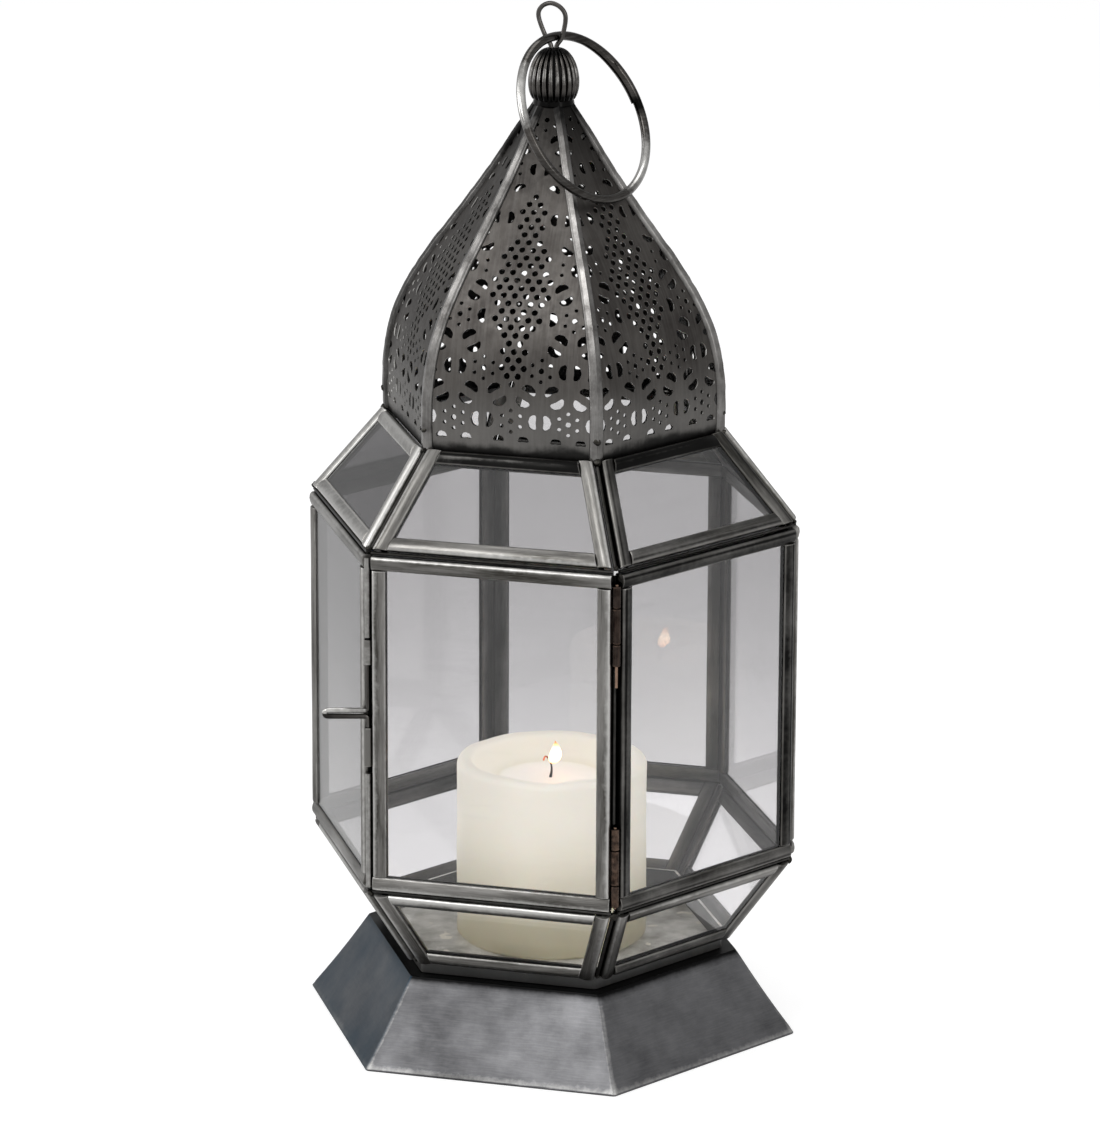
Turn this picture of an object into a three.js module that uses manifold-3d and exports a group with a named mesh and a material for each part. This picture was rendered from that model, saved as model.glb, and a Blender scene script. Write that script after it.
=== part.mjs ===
// Hexagonal glazed candle lantern with a pierced onion dome, a hinged door and a hanging ring.
// Millimetres, +Z up. The origin is the middle of the foot's resting face and the door faces -Y.

import * as THREE from 'three';
import { mergeVertices } from 'three/addons/utils/BufferGeometryUtils.js';
import Module from 'manifold-3d';

const wasm = await Module();
wasm.setup();

// Gap between pieces that are soldered, seated or trapped against each other
const CLEARANCE = 0.3;

// Glazed body, in three tiers of framed panes. Flats are measured across opposite sides.
const BODY_FLATS = 164; // outer faces of the upright frames
const WAIST_FLATS = 115.8; // inner bottom edges of the lower frames
const NECK_FLATS = 107.6; // inner top edges of the shoulder frames
const LOWER_RISE = 31.6;
const SIDE_HEIGHT = 126.4;
const SHOULDER_RISE = 32.2;
const WAIST_LIFT = 5.9; // lower frames' bottom edge above the floor

// Channel frame round every pane
const FRAME_WIDTH = 5.2;
const FRAME_DEPTH = 4.6;
const FRAME_ROUND = 0.8; // rounding of the front edges
const FRAME_CORNER = 1.6;
const GLASS_THICKNESS = 2;
const GLASS_REBATE = 2; // how far the pane reaches into its channel

// Flared foot of folded sheet, and the floor tray that joins it to the body
const FOOT_HEIGHT = 31.3;
const FOOT_FLATS = 163.8;
const FOOT_TOP_FLATS = 124.4;
const FOOT_SHEET = 1.2;
const FOOT_HEM_HEIGHT = 1;
const FOOT_HEM_WIDTH = 3.4; // resting face
const FOOT_FLANGE = 9; // inward flange that carries the tray
const FOOT_CORNER = 1.5; // corner radius outside
const FOOT_INNER_CORNER = 0.5; // inside the hem
const TRAY_SHEET = 1;
const TRAY_RIM = 1.5; // rim above the lower frames' bottom edge
const TRAY_CORNER = 2;

// Onion dome: the outer corner line is one cubic curve from the seat to the top
const DOME_HEIGHT = 118;
const DOME_SET_IN = 0.4; // inner face of the sheet, outside the shoulders' top edge
const DOME_SHEET = 1;
const DOME_TOP_RADIUS = 7.6;
const DOME_BELLY_SWELL = 4.4; // first control point beyond the base radius
const DOME_BELLY_RISE = 53.7;
const DOME_WAIST_RADIUS = 40.2; // second control point
const DOME_WAIST_RISE = 59.3;
const RIB_WIDTH = 5.2;
const RIB_TOP_WIDTH = 3.6;
const RIB_THICKNESS = 1.1;

// Pierced petals on the dome, six round each flower of a staggered lattice
const FLOWER_PITCH = 21.4;
const FLOWER_ROW_PITCH = 18.75;
const FIRST_FLOWER_ROW = 13.2; // up the sheet from the seat
const PETAL_CIRCLE = 8.1; // radius of the ring of petals
const PETAL_LENGTH = 5.6;
const PETAL_WIDTH = 2.7;
const PETAL_EDGE = 3; // plain metal beside the ribs
const PETAL_ROWS = 3; // rows of flowers whose petals are cut
const PETAL_HEM = 8; // plain metal above the seat
const LOZENGE_HALF_WIDTH = 9.5; // middle column left for the finest piercing
const LOZENGE_START = 26; // up the sheet from the seat

// Finial bead, its collar and the wire eye
const COLLAR_RADIUS = 7.6;
const COLLAR_HEIGHT = 2.2;
const FINIAL_RADIUS = 9.4;
const FINIAL_FOOT_RADIUS = 7;
const FINIAL_TOP_RADIUS = 3.4;
const FINIAL_HEIGHT = 17.4;
const FINIAL_FLUTE_DEPTH = 0.7;
const EYE_WIDTH = 11.8;
const EYE_HEIGHT = 17.4;
const EYE_WIRE = 1.7;
const EYE_STEM = 3.8;
const EYE_STEM_LENGTH = 12;
const EYE_THROAT_HEIGHT = 4.4; // where the ring hangs, above the finial
const EYE_THROAT_WIDTH = 6.2; // between the legs' middles there

// Hanging ring, lying on the dome
const RING_RADIUS = 31.2;
const RING_WIRE = 3.3;
const RING_AZIMUTH = -24; // degrees, the side of the dome it lies on

// Door hinges and turn latch, in the grooves beside the door
const KNUCKLE_DIAMETER = 3;
const KNUCKLE_WEB = 1;
const FIXED_KNUCKLE = 8;
const DOOR_KNUCKLE = 13;
const PIN_DIAMETER = 1.2;
const PIN_OVERHANG = 0.6;
const UPPER_HINGE_DROP = 4; // below the door's top edge
const LOWER_HINGE_LIFT = 2; // above the door's bottom edge
const LATCH_WIRE = 1.5;
const LATCH_HEIGHT = 68; // handle's upper leg above the door's bottom edge
const LATCH_REACH = 16.3;
const LATCH_SPREAD = 2.2; // between the handle's two legs
const LATCH_BEND = 1;
const LATCH_AZIMUTH = 195.6; // degrees, handle turned away from the door
const UPPER_SLEEVE_GAP = 17.3; // above the handle
const UPPER_SLEEVE = 9.4;
const LOWER_SLEEVE_GAP = 4.2; // below the handle
const LOWER_SLEEVE = 14.7;

// Pillar candle
const CANDLE_DIAMETER = 70;
const CANDLE_HEIGHT = 67.6;
const CANDLE_RIM = 6;
const CANDLE_ROUND = 2.6;
const POOL_DEPTH = 8;
const POOL_RADIUS = 21;
const WICK_DIAMETER = 1.6;
const WICK_ROOT = 6;
const WICK_HEIGHT = 8.5;
const WICK_CURL = 3;

// Facets
const SIDES = 6;
const WIRE_FACETS = 4; // curve segments of half a wire's section
const TUBE_FACETS = 12;
const CORNER_STEPS = 4;
const DOME_STEPS = 12;
const RIB_STEPS_ACROSS = 4;
const RING_STEPS = 44;
const ROUND_STEPS = 36;
const FLUTES = 22;
const BEND_STEPS = 3;
const EYE_STEPS = 24;
const BEAD_STEPS = 7;
const MERGE_TOLERANCE = 1e-4;

const HALF_SIDE = Math.PI / SIDES;
const TAN_HALF = Math.tan(HALF_SIDE);
const COS_HALF = Math.cos(HALF_SIDE);
const SIDE_NAMES = ['back_right', 'back', 'back_left', 'front_left', 'front', 'front_right'];
const CORNER_NAMES = ['right', 'back_right', 'back_left', 'left', 'front_left', 'front_right'];
const DOOR_SIDE = SIDE_NAMES.indexOf('front');
const HINGE_SIDE = SIDE_NAMES.indexOf('front_right');
const LATCH_SIDE = SIDE_NAMES.indexOf('front_left');

const FINISHES = {
  frame: { color: 0x77787a, roughness: 0.42, metalness: 0.9 },
  dome: { color: 0x5f5d5a, roughness: 0.5, metalness: 0.9 },
  rib: { color: 0xa4a4a1, roughness: 0.38, metalness: 0.9 },
  foot: { color: 0x76777b, roughness: 0.45, metalness: 0.9 },
  floor: { color: 0x8b8a86, roughness: 0.5, metalness: 0.9 },
  wire: { color: 0x8d8b87, roughness: 0.35, metalness: 0.9 },
  copper: { color: 0x7d5a44, roughness: 0.5, metalness: 0.9 },
  glass: { color: 0xdde3e3, roughness: 0.05, metalness: 0, transparent: true, opacity: 0.3 },
  wax: { color: 0xece4d0, roughness: 0.55, metalness: 0 },
  wick: { color: 0x2c2621, roughness: 0.9, metalness: 0 },
};

const lantern = new THREE.Group();
const at = (degrees) => THREE.MathUtils.degToRad(degrees);

function addPiece(parent, name, geometry, finish) {
  const mesh = new THREE.Mesh(geometry, new THREE.MeshStandardMaterial(FINISHES[finish]));
  mesh.name = name;
  parent.add(mesh);
  return mesh;
}

// Closed solids for joins and cuts

function solidOf(geometry) {
  const bare = geometry.clone();
  bare.deleteAttribute('normal');
  bare.deleteAttribute('uv');
  const merged = mergeVertices(bare, MERGE_TOLERANCE);
  const vertProperties = new Float32Array(merged.attributes.position.array);
  const triVerts = new Uint32Array(merged.index.array);
  return new wasm.Manifold(new wasm.Mesh({ numProp: 3, vertProperties, triVerts }));
}

function geometryOf(solid) {
  const mesh = solid.getMesh();
  const geometry = new THREE.BufferGeometry();
  geometry.setAttribute('position', new THREE.BufferAttribute(mesh.vertProperties, 3));
  geometry.setIndex(new THREE.BufferAttribute(mesh.triVerts, 1));
  return geometry;
}

const joined = (solids) => solids.reduce((whole, solid) => whole.add(solid));

// Shared shapes

function reshape(geometry, place) {
  const position = geometry.attributes.position;
  const point = new THREE.Vector3();
  for (let i = 0; i < position.count; i += 1) {
    point.fromBufferAttribute(position, i);
    const moved = place(point);
    position.setXYZ(i, moved.x, moved.y, moved.z);
  }
  return geometry;
}

function turned(profile, steps) {
  const points = profile.map(([radius, height]) => new THREE.Vector2(radius, height));
  return new THREE.LatheGeometry(points, steps).rotateX(Math.PI / 2);
}

// A turned profile pushed out to a hexagon with filleted corners: [half flats, height, corner radius]
function hexTurned(profile) {
  const steps = CORNER_STEPS + 1;
  const points = profile.map(([apothem, height]) => new THREE.Vector2(apothem, height));
  const geometry = new THREE.LatheGeometry(points, SIDES * steps);
  const position = geometry.attributes.position;
  for (let i = 0; i < position.count; i += 1) {
    const column = Math.floor(i / profile.length);
    const [apothem, height, corner] = profile[i % profile.length];
    const heading = 2 * HALF_SIDE * Math.floor(column / steps);
    const sweep = heading - HALF_SIDE + (2 * HALF_SIDE * (column % steps)) / CORNER_STEPS;
    const fillet = Math.min(corner, apothem);
    const reach = (apothem - fillet) / COS_HALF;
    const x = reach * Math.cos(heading) + fillet * Math.cos(sweep);
    const y = reach * Math.sin(heading) + fillet * Math.sin(sweep);
    position.setXYZ(i, x, y, height);
  }
  return geometry;
}

// A path that is sampled exactly at its own points
class WirePath extends THREE.Curve {
  constructor(points) {
    super();
    this.points = points;
  }

  getPoint(t, target = new THREE.Vector3()) {
    const last = this.points.length - 1;
    const index = Math.min(Math.floor(t * last + 1e-9), last - 1);
    return target.lerpVectors(this.points[index], this.points[index + 1], t * last - index);
  }

  getPointAt(t, target) {
    return this.getPoint(t, target);
  }

  getTangentAt(t, target = new THREE.Vector3()) {
    const last = this.points.length - 1;
    const index = Math.round(t * last);
    const before = this.points[Math.max(index - 1, 0)];
    const after = this.points[Math.min(index + 1, last)];
    return target.subVectors(after, before).normalize();
  }
}

function wire(points, diameter) {
  const section = new THREE.Shape().absarc(0, 0, diameter / 2, 0, 2 * Math.PI);
  return new THREE.ExtrudeGeometry(section, {
    steps: points.length - 1,
    extrudePath: new WirePath(points),
    curveSegments: WIRE_FACETS,
  });
}

// Straight runs joined by round bends
function bentRun(corners, radius) {
  const points = [corners[0]];
  for (let i = 1; i < corners.length - 1; i += 1) {
    const back = corners[i - 1].clone().sub(corners[i]).normalize();
    const on = corners[i + 1].clone().sub(corners[i]).normalize();
    const inset = radius / Math.tan(back.angleTo(on) / 2);
    const start = corners[i].clone().addScaledVector(back, inset);
    const end = corners[i].clone().addScaledVector(on, inset);
    const bend = new THREE.QuadraticBezierCurve3(start, corners[i], end);
    points.push(...bend.getPoints(BEND_STEPS));
  }
  points.push(corners[corners.length - 1]);
  return points;
}

const along = (x, z) => new THREE.Vector3(x, 0, z);

function upright(diameter, base, length) {
  const cylinder = new THREE.CylinderGeometry(diameter / 2, diameter / 2, length, TUBE_FACETS);
  return cylinder.rotateX(Math.PI / 2).translate(0, 0, base + length / 2);
}

// Heights and inner faces of the three tiers, from the floor up

const floorTop = FOOT_HEIGHT + CLEARANCE + TRAY_SHEET;
const sideInner = BODY_FLATS / 2 - FRAME_DEPTH;
const waist = { apothem: WAIST_FLATS / 2, z: floorTop + WAIST_LIFT };
const sill = { apothem: sideInner, z: waist.z + LOWER_RISE };
const eaves = { apothem: sideInner, z: sill.z + SIDE_HEIGHT };
const neck = { apothem: NECK_FLATS / 2, z: eaves.z + SHOULDER_RISE };

// A flat panel whose inner face runs from one fold line up to the next
function panelBetween(bottom, top) {
  const run = bottom.apothem - top.apothem;
  const rise = top.z - bottom.z;
  const lean = Math.atan2(run, rise);
  const trim = CLEARANCE / 2;
  const length = Math.hypot(run, rise) - CLEARANCE;
  const seamTrim = trim / Math.sin(2 * HALF_SIDE);
  const widthAt = (y) => (bottom.apothem - (y + trim) * Math.sin(lean)) * TAN_HALF - seamTrim;
  return { bottom, lean, length, trim, lowHalf: widthAt(0), highHalf: widthAt(length) };
}

const lowerPanel = panelBetween(waist, sill);
const sidePanel = panelBetween(sill, eaves);
const shoulderPanel = panelBetween(eaves, neck);

// The panel's outline drawn in by an equal margin
function outline(panel, margin) {
  const slope = (panel.highHalf - panel.lowHalf) / panel.length;
  const half = (y) => panel.lowHalf + slope * y - margin * Math.hypot(1, slope);
  const top = panel.length - margin;
  return [
    new THREE.Vector2(-half(margin), margin),
    new THREE.Vector2(half(margin), margin),
    new THREE.Vector2(half(top), top),
    new THREE.Vector2(-half(top), top),
  ];
}

function roundedShape(points, radius) {
  const shape = new THREE.Shape();
  points.forEach((corner, i) => {
    const before = points[(i + points.length - 1) % points.length];
    const after = points[(i + 1) % points.length];
    const start = before.clone().sub(corner).setLength(radius).add(corner);
    const end = after.clone().sub(corner).setLength(radius).add(corner);
    if (i === 0) {
      shape.moveTo(start.x, start.y);
    } else {
      shape.lineTo(start.x, start.y);
    }
    shape.quadraticCurveTo(corner.x, corner.y, end.x, end.y);
  });
  shape.closePath();
  return shape;
}

const glassBack = (FRAME_DEPTH - GLASS_THICKNESS) / 2;

function paneGeometry(panel) {
  const shape = new THREE.Shape(outline(panel, FRAME_WIDTH - GLASS_REBATE));
  const pane = new THREE.ExtrudeGeometry(shape, { depth: GLASS_THICKNESS, bevelEnabled: false });
  return pane.translate(0, 0, glassBack);
}

function frameSolid(panel) {
  const shape = roundedShape(outline(panel, 0), FRAME_CORNER);
  shape.holes.push(new THREE.Path(outline(panel, FRAME_WIDTH)));
  const frame = new THREE.ExtrudeGeometry(shape, {
    depth: FRAME_DEPTH - FRAME_ROUND,
    bevelThickness: FRAME_ROUND,
    bevelSize: FRAME_ROUND,
    bevelOffset: -FRAME_ROUND,
    bevelSegments: 1,
    curveSegments: 2,
  });
  const flatBacked = reshape(frame, (point) => point.setZ(Math.max(point.z, 0)));
  const channelOutline = new THREE.Shape(outline(panel, FRAME_WIDTH - GLASS_REBATE - CLEARANCE));
  const channel = new THREE.ExtrudeGeometry(channelOutline, {
    depth: GLASS_THICKNESS + 2 * CLEARANCE,
    bevelEnabled: false,
  });
  return solidOf(flatBacked).subtract(solidOf(channel.translate(0, 0, glassBack - CLEARANCE)));
}

// A group whose X runs along the panel, Y up its slope and Z out of its face
function panelGroup(panel, side) {
  const turn = new THREE.Group();
  turn.rotation.z = HALF_SIDE * (2 * side + 1);
  lantern.add(turn);
  const face = new THREE.Group();
  const rise = new THREE.Vector3(-Math.sin(panel.lean), 0, Math.cos(panel.lean));
  const out = new THREE.Vector3(Math.cos(panel.lean), 0, Math.sin(panel.lean));
  const basis = new THREE.Matrix4().makeBasis(new THREE.Vector3(0, 1, 0), rise, out);
  face.quaternion.setFromRotationMatrix(basis);
  face.position.set(panel.bottom.apothem, 0, panel.bottom.z).addScaledVector(rise, panel.trim);
  turn.add(face);
  return face;
}

// Hinge and latch line: a tube lying in the groove between two upright frames, clear of both
const grooveReach = (sidePanel.lowHalf + KNUCKLE_DIAMETER / 2 + CLEARANCE) / Math.sin(HALF_SIDE);
const grooveAlong = grooveReach * Math.sin(HALF_SIDE);
const grooveOut = grooveReach * COS_HALF - sideInner;

const hingeLength = 2 * FIXED_KNUCKLE + DOOR_KNUCKLE + 2 * CLEARANCE;
const hinges = [
  { name: 'upper', base: sidePanel.length - UPPER_HINGE_DROP - hingeLength },
  { name: 'lower', base: LOWER_HINGE_LIFT },
];

// A tube on the frame's edge (sign says which edge), carried by a thin web
function edgeTube(sign, base, length, bore) {
  const tube = upright(KNUCKLE_DIAMETER, 0, length).rotateX(-Math.PI / 2);
  tube.translate(sign * grooveAlong, base, grooveOut);
  const reach = KNUCKLE_DIAMETER / 2 + CLEARANCE + FRAME_WIDTH / 4;
  const web = new THREE.BoxGeometry(reach, length, KNUCKLE_WEB);
  web.translate(sign * (grooveAlong - reach / 2), base + length / 2, grooveOut);
  const hole = upright(bore, -CLEARANCE, length + 2 * CLEARANCE).rotateX(-Math.PI / 2);
  hole.translate(sign * grooveAlong, base, grooveOut);
  return { body: solidOf(tube).add(solidOf(web)), hole: solidOf(hole) };
}

function withTubes(frame, tubes) {
  const whole = joined([frame, ...tubes.map((tube) => tube.body)]);
  return tubes.reduce((cut, tube) => cut.subtract(tube.hole), whole);
}

const pinBore = PIN_DIAMETER + 2 * CLEARANCE;
const latchBore = LATCH_WIRE + 2 * CLEARANCE;
const doorKnuckleStart = FIXED_KNUCKLE + CLEARANCE;
const lastKnuckleStart = doorKnuckleStart + DOOR_KNUCKLE + CLEARANCE;
const upperSleeveBase = LATCH_HEIGHT + UPPER_SLEEVE_GAP;
const lowerSleeveBase = LATCH_HEIGHT - LATCH_SPREAD - LOWER_SLEEVE_GAP - LOWER_SLEEVE;

function doorFrame() {
  const tubes = hinges.map(({ base }) => edgeTube(1, base + doorKnuckleStart, DOOR_KNUCKLE, pinBore));
  return withTubes(frameSolid(sidePanel), tubes);
}

function hingeFrame() {
  const tubes = hinges.flatMap(({ base }) => [
    edgeTube(-1, base, FIXED_KNUCKLE, pinBore),
    edgeTube(-1, base + lastKnuckleStart, FIXED_KNUCKLE, pinBore),
  ]);
  return withTubes(frameSolid(sidePanel), tubes);
}

function latchFrame() {
  const tubes = [
    edgeTube(1, upperSleeveBase, UPPER_SLEEVE, latchBore),
    edgeTube(1, lowerSleeveBase, LOWER_SLEEVE, latchBore),
  ];
  return withTubes(frameSolid(sidePanel), tubes);
}

const specialFrames = new Map([
  [DOOR_SIDE, doorFrame],
  [HINGE_SIDE, hingeFrame],
  [LATCH_SIDE, latchFrame],
]);

function addTier(tier, panel, frames = new Map()) {
  SIDE_NAMES.forEach((name, side) => {
    const face = panelGroup(panel, side);
    const isDoor = tier === 'side' && side === DOOR_SIDE;
    const suffix = isDoor ? '' : `_${name}`;
    const prefix = isDoor ? 'door' : tier;
    const solid = frames.has(side) ? frames.get(side)() : frameSolid(panel);
    addPiece(face, `${prefix}_frame${suffix}`, geometryOf(solid), 'frame');
    addPiece(face, `${prefix}_glass${suffix}`, paneGeometry(panel), 'glass');
  });
}

addTier('lower', lowerPanel);
addTier('side', sidePanel, specialFrames);
addTier('shoulder', shoulderPanel);

// Hinge pins stand in the groove on the hinge side, the latch in the groove on the other
function grooveGroup(corner) {
  const turn = new THREE.Group();
  const heading = 2 * HALF_SIDE * corner;
  turn.position.set(grooveReach * Math.cos(heading), grooveReach * Math.sin(heading), 0);
  lantern.add(turn);
  return turn;
}

const panelBase = sill.z + sidePanel.trim;
const hingeGroove = grooveGroup(CORNER_NAMES.indexOf('front_right'));
hinges.forEach(({ name, base }) => {
  const pin = upright(PIN_DIAMETER, panelBase + base - PIN_OVERHANG, hingeLength + 2 * PIN_OVERHANG);
  addPiece(hingeGroove, `hinge_pin_${name}`, pin, 'copper');
});

function latchGeometry() {
  const high = panelBase + LATCH_HEIGHT;
  const low = high - LATCH_SPREAD;
  const tip = LATCH_REACH - LATCH_WIRE / 2;
  const end = panelBase + lowerSleeveBase + CLEARANCE;
  const start = panelBase + upperSleeveBase + UPPER_SLEEVE - CLEARANCE;
  const corners = [along(0, start), along(0, high), along(tip, high), along(tip, low), along(0, low)];
  return wire(bentRun([...corners, along(0, end)], LATCH_BEND), LATCH_WIRE);
}

const latchGroove = grooveGroup(CORNER_NAMES.indexOf('front_left'));
latchGroove.rotation.z = at(LATCH_AZIMUTH);
addPiece(latchGroove, 'latch_wire', latchGeometry(), 'wire');

// Foot and floor tray

function footGeometry() {
  const rim = FOOT_FLATS / 2;
  const top = FOOT_TOP_FLATS / 2;
  const flare = Math.atan2(rim - top, FOOT_HEIGHT - FOOT_HEM_HEIGHT);
  const wall = FOOT_SHEET / Math.cos(flare);
  const under = FOOT_HEIGHT - FOOT_SHEET;
  const bend = FOOT_SHEET * Math.tan(flare / 2);
  const flangeEdge = top - FOOT_FLANGE;
  const innerHem = rim - FOOT_HEM_WIDTH;
  const hemTop = FOOT_HEM_HEIGHT + (FOOT_HEM_WIDTH - wall) / Math.tan(flare);
  const profile = [
    [innerHem, 0, FOOT_INNER_CORNER],
    [rim, 0, FOOT_CORNER],
    [rim, FOOT_HEM_HEIGHT, FOOT_CORNER],
    [top, FOOT_HEIGHT, FOOT_CORNER],
    [flangeEdge, FOOT_HEIGHT, FOOT_CORNER],
    [flangeEdge, under, FOOT_CORNER],
    [top - bend, under, FOOT_CORNER],
    [innerHem, hemTop, FOOT_INNER_CORNER],
  ];
  return hexTurned([...profile, profile[0]]);
}

function trayGeometry() {
  const rim = waist.apothem - CLEARANCE;
  const rimTop = waist.z + TRAY_RIM;
  const bottom = floorTop - TRAY_SHEET;
  const inner = rim - TRAY_SHEET;
  return hexTurned([
    [0, bottom, 0],
    [rim, bottom, TRAY_CORNER],
    [rim, rimTop, TRAY_CORNER],
    [inner, rimTop, TRAY_CORNER - TRAY_SHEET],
    [inner, floorTop, TRAY_CORNER - TRAY_SHEET],
    [0, floorTop, 0],
  ]);
}

addPiece(lantern, 'foot', footGeometry(), 'foot');
addPiece(lantern, 'floor_tray', trayGeometry(), 'floor');

// Onion dome

const domeOuter = neck.apothem + DOME_SET_IN + DOME_SHEET;
const domeBase = domeOuter / COS_HALF;
const cornerLine = new THREE.CubicBezierCurve(
  new THREE.Vector2(domeBase, 0),
  new THREE.Vector2(domeBase + DOME_BELLY_SWELL, DOME_BELLY_RISE),
  new THREE.Vector2(DOME_WAIST_RADIUS, DOME_WAIST_RISE),
  new THREE.Vector2(DOME_TOP_RADIUS, DOME_HEIGHT),
);
const seatSlope = Math.tan(shoulderPanel.lean);
const seatUnder = (apothem) => neck.z + (apothem - neck.apothem) * seatSlope + CLEARANCE;
const domeSeat = seatUnder(domeOuter);
const domeTop = domeSeat + DOME_HEIGHT;

// Corner radius, height and slope of the dome at t, from seat to top
function domeAt(t) {
  const point = cornerLine.getPoint(t);
  const tangent = cornerLine.getTangent(t);
  return { radius: point.x, z: domeSeat + point.y, slope: tangent.x / tangent.y };
}

// Sheet point: across is -1 to 1, t runs up the profile, depth is 0 inside and 1 outside
function sheetPoint(across, t, depth) {
  const { radius, z, slope } = domeAt(t);
  const lateral = DOME_SHEET * Math.hypot(1, slope * COS_HALF);
  const apothem = radius * COS_HALF - (1 - depth) * lateral;
  const half = apothem * TAN_HALF - CLEARANCE / 2 / Math.sin(2 * HALF_SIDE);
  return new THREE.Vector3(apothem, across * half, z);
}

// Arc length up the middle of a panel, as a table to place the piercing
const arcTable = Array.from({ length: 4 * DOME_STEPS + 1 }, (_, i) => {
  const t = i / (4 * DOME_STEPS);
  return { t, point: sheetPoint(0, t, 1), length: 0 };
});
arcTable.forEach((entry, i) => {
  if (i > 0) {
    entry.length = arcTable[i - 1].length + entry.point.distanceTo(arcTable[i - 1].point);
  }
});

function profileAtLength(length) {
  const next = Math.max(1, arcTable.findIndex((entry) => entry.length >= length));
  const low = arcTable[next - 1];
  const high = arcTable[next];
  return low.t + ((length - low.length) / (high.length - low.length)) * (high.t - low.t);
}

// Petals of the flower lattice that lie on plain sheet: clear of the ribs, the middle and the hem
function petals() {
  const found = [];
  for (let row = 0; row < PETAL_ROWS; row += 1) {
    const stagger = row % 2 === 0 ? 0 : 0.5;
    for (let column = -2; column <= 2; column += 1) {
      for (let k = 0; k < SIDES; k += 1) {
        const heading = 2 * HALF_SIDE * k;
        const x = (column + stagger) * FLOWER_PITCH + PETAL_CIRCLE * Math.cos(heading);
        const up = FIRST_FLOWER_ROW + row * FLOWER_ROW_PITCH + PETAL_CIRCLE * Math.sin(heading);
        const half = sheetPoint(1, profileAtLength(up), 1).y;
        const nearRib = Math.abs(x) > half - PETAL_EDGE - PETAL_WIDTH / 2;
        const inMiddle = up > LOZENGE_START && Math.abs(x) < LOZENGE_HALF_WIDTH;
        if (up > PETAL_HEM && !nearRib && !inMiddle) {
          found.push({ x, up, heading });
        }
      }
    }
  }
  return found;
}

function petalCutter({ x, up, heading }) {
  const long = PETAL_LENGTH / 2;
  const wide = PETAL_WIDTH / 2;
  const shape = new THREE.Shape([
    new THREE.Vector2(0, -long),
    new THREE.Vector2(wide, -long / 2),
    new THREE.Vector2(wide, long / 2),
    new THREE.Vector2(0, long),
    new THREE.Vector2(-wide, long / 2),
    new THREE.Vector2(-wide, -long / 2),
  ]);
  const depth = 4 * DOME_SHEET;
  const cutter = new THREE.ExtrudeGeometry(shape, { depth, bevelEnabled: false });
  cutter.translate(0, 0, -depth / 2).rotateZ(heading);
  const t = profileAtLength(up);
  const centre = sheetPoint(0, t, 0.5).setY(x);
  const lean = Math.atan(-domeAt(t).slope * COS_HALF);
  const rise = new THREE.Vector3(-Math.sin(lean), 0, Math.cos(lean));
  const out = new THREE.Vector3(Math.cos(lean), 0, Math.sin(lean));
  const place = new THREE.Matrix4().makeBasis(new THREE.Vector3(0, 1, 0), rise, out);
  return cutter.applyMatrix4(place.setPosition(centre));
}

function domePanelGeometry() {
  const blank = new THREE.BoxGeometry(1, 2, 1, 1, 1, DOME_STEPS);
  reshape(blank, ({ x, y, z }) => sheetPoint(y, z + 0.5, x + 0.5));
  return petals().reduce((sheet, petal) => sheet.subtract(solidOf(petalCutter(petal))), solidOf(blank));
}

// Rib point: a strip bent over the corner, flatter at its edges
function ribReach(t, depth) {
  const { radius, slope } = domeAt(t);
  const stretch = Math.hypot(1, slope);
  return radius + (CLEARANCE / COS_HALF + depth * RIB_THICKNESS) * stretch;
}

const ribSeat = seatUnder(ribReach(0, 1) * COS_HALF);

function ribPoint(across, t, depth) {
  const half = THREE.MathUtils.lerp(RIB_WIDTH, RIB_TOP_WIDTH, t) / 2;
  const side = across * half;
  const edgeFall = 0.3 * across * across;
  const reach = ribReach(t, depth * (1 - edgeFall)) - Math.abs(side) * TAN_HALF;
  return new THREE.Vector3(reach, side, Math.max(domeAt(t).z, ribSeat));
}

function ribGeometry() {
  const strip = new THREE.BoxGeometry(1, 2, 1, 1, RIB_STEPS_ACROSS, DOME_STEPS);
  return reshape(strip, ({ x, y, z }) => ribPoint(y, z + 0.5, x + 0.5));
}

const domePanel = geometryOf(domePanelGeometry());
SIDE_NAMES.forEach((name, side) => {
  const panel = addPiece(lantern, `dome_panel_${name}`, domePanel.clone(), 'dome');
  panel.rotation.z = HALF_SIDE * (2 * side + 1);
});
CORNER_NAMES.forEach((name, corner) => {
  const rib = addPiece(lantern, `dome_rib_${name}`, ribGeometry(), 'rib');
  rib.rotation.z = 2 * HALF_SIDE * corner;
});

// Collar, fluted finial and eye, threaded on the eye's stem

const collarBase = domeTop + CLEARANCE;
const finialBase = collarBase + COLLAR_HEIGHT + CLEARANCE;
const finialTop = finialBase + FINIAL_HEIGHT;
const stemBore = EYE_STEM / 2 + CLEARANCE;

function collarGeometry() {
  const top = collarBase + COLLAR_HEIGHT;
  const topRadius = (COLLAR_RADIUS + stemBore) / 2 + CLEARANCE;
  const profile = [
    [stemBore, collarBase],
    [COLLAR_RADIUS, collarBase],
    [COLLAR_RADIUS, collarBase + COLLAR_HEIGHT / 2],
    [topRadius, top],
    [stemBore, top],
  ];
  return turned([...profile, profile[0]], ROUND_STEPS / 2);
}

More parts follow.
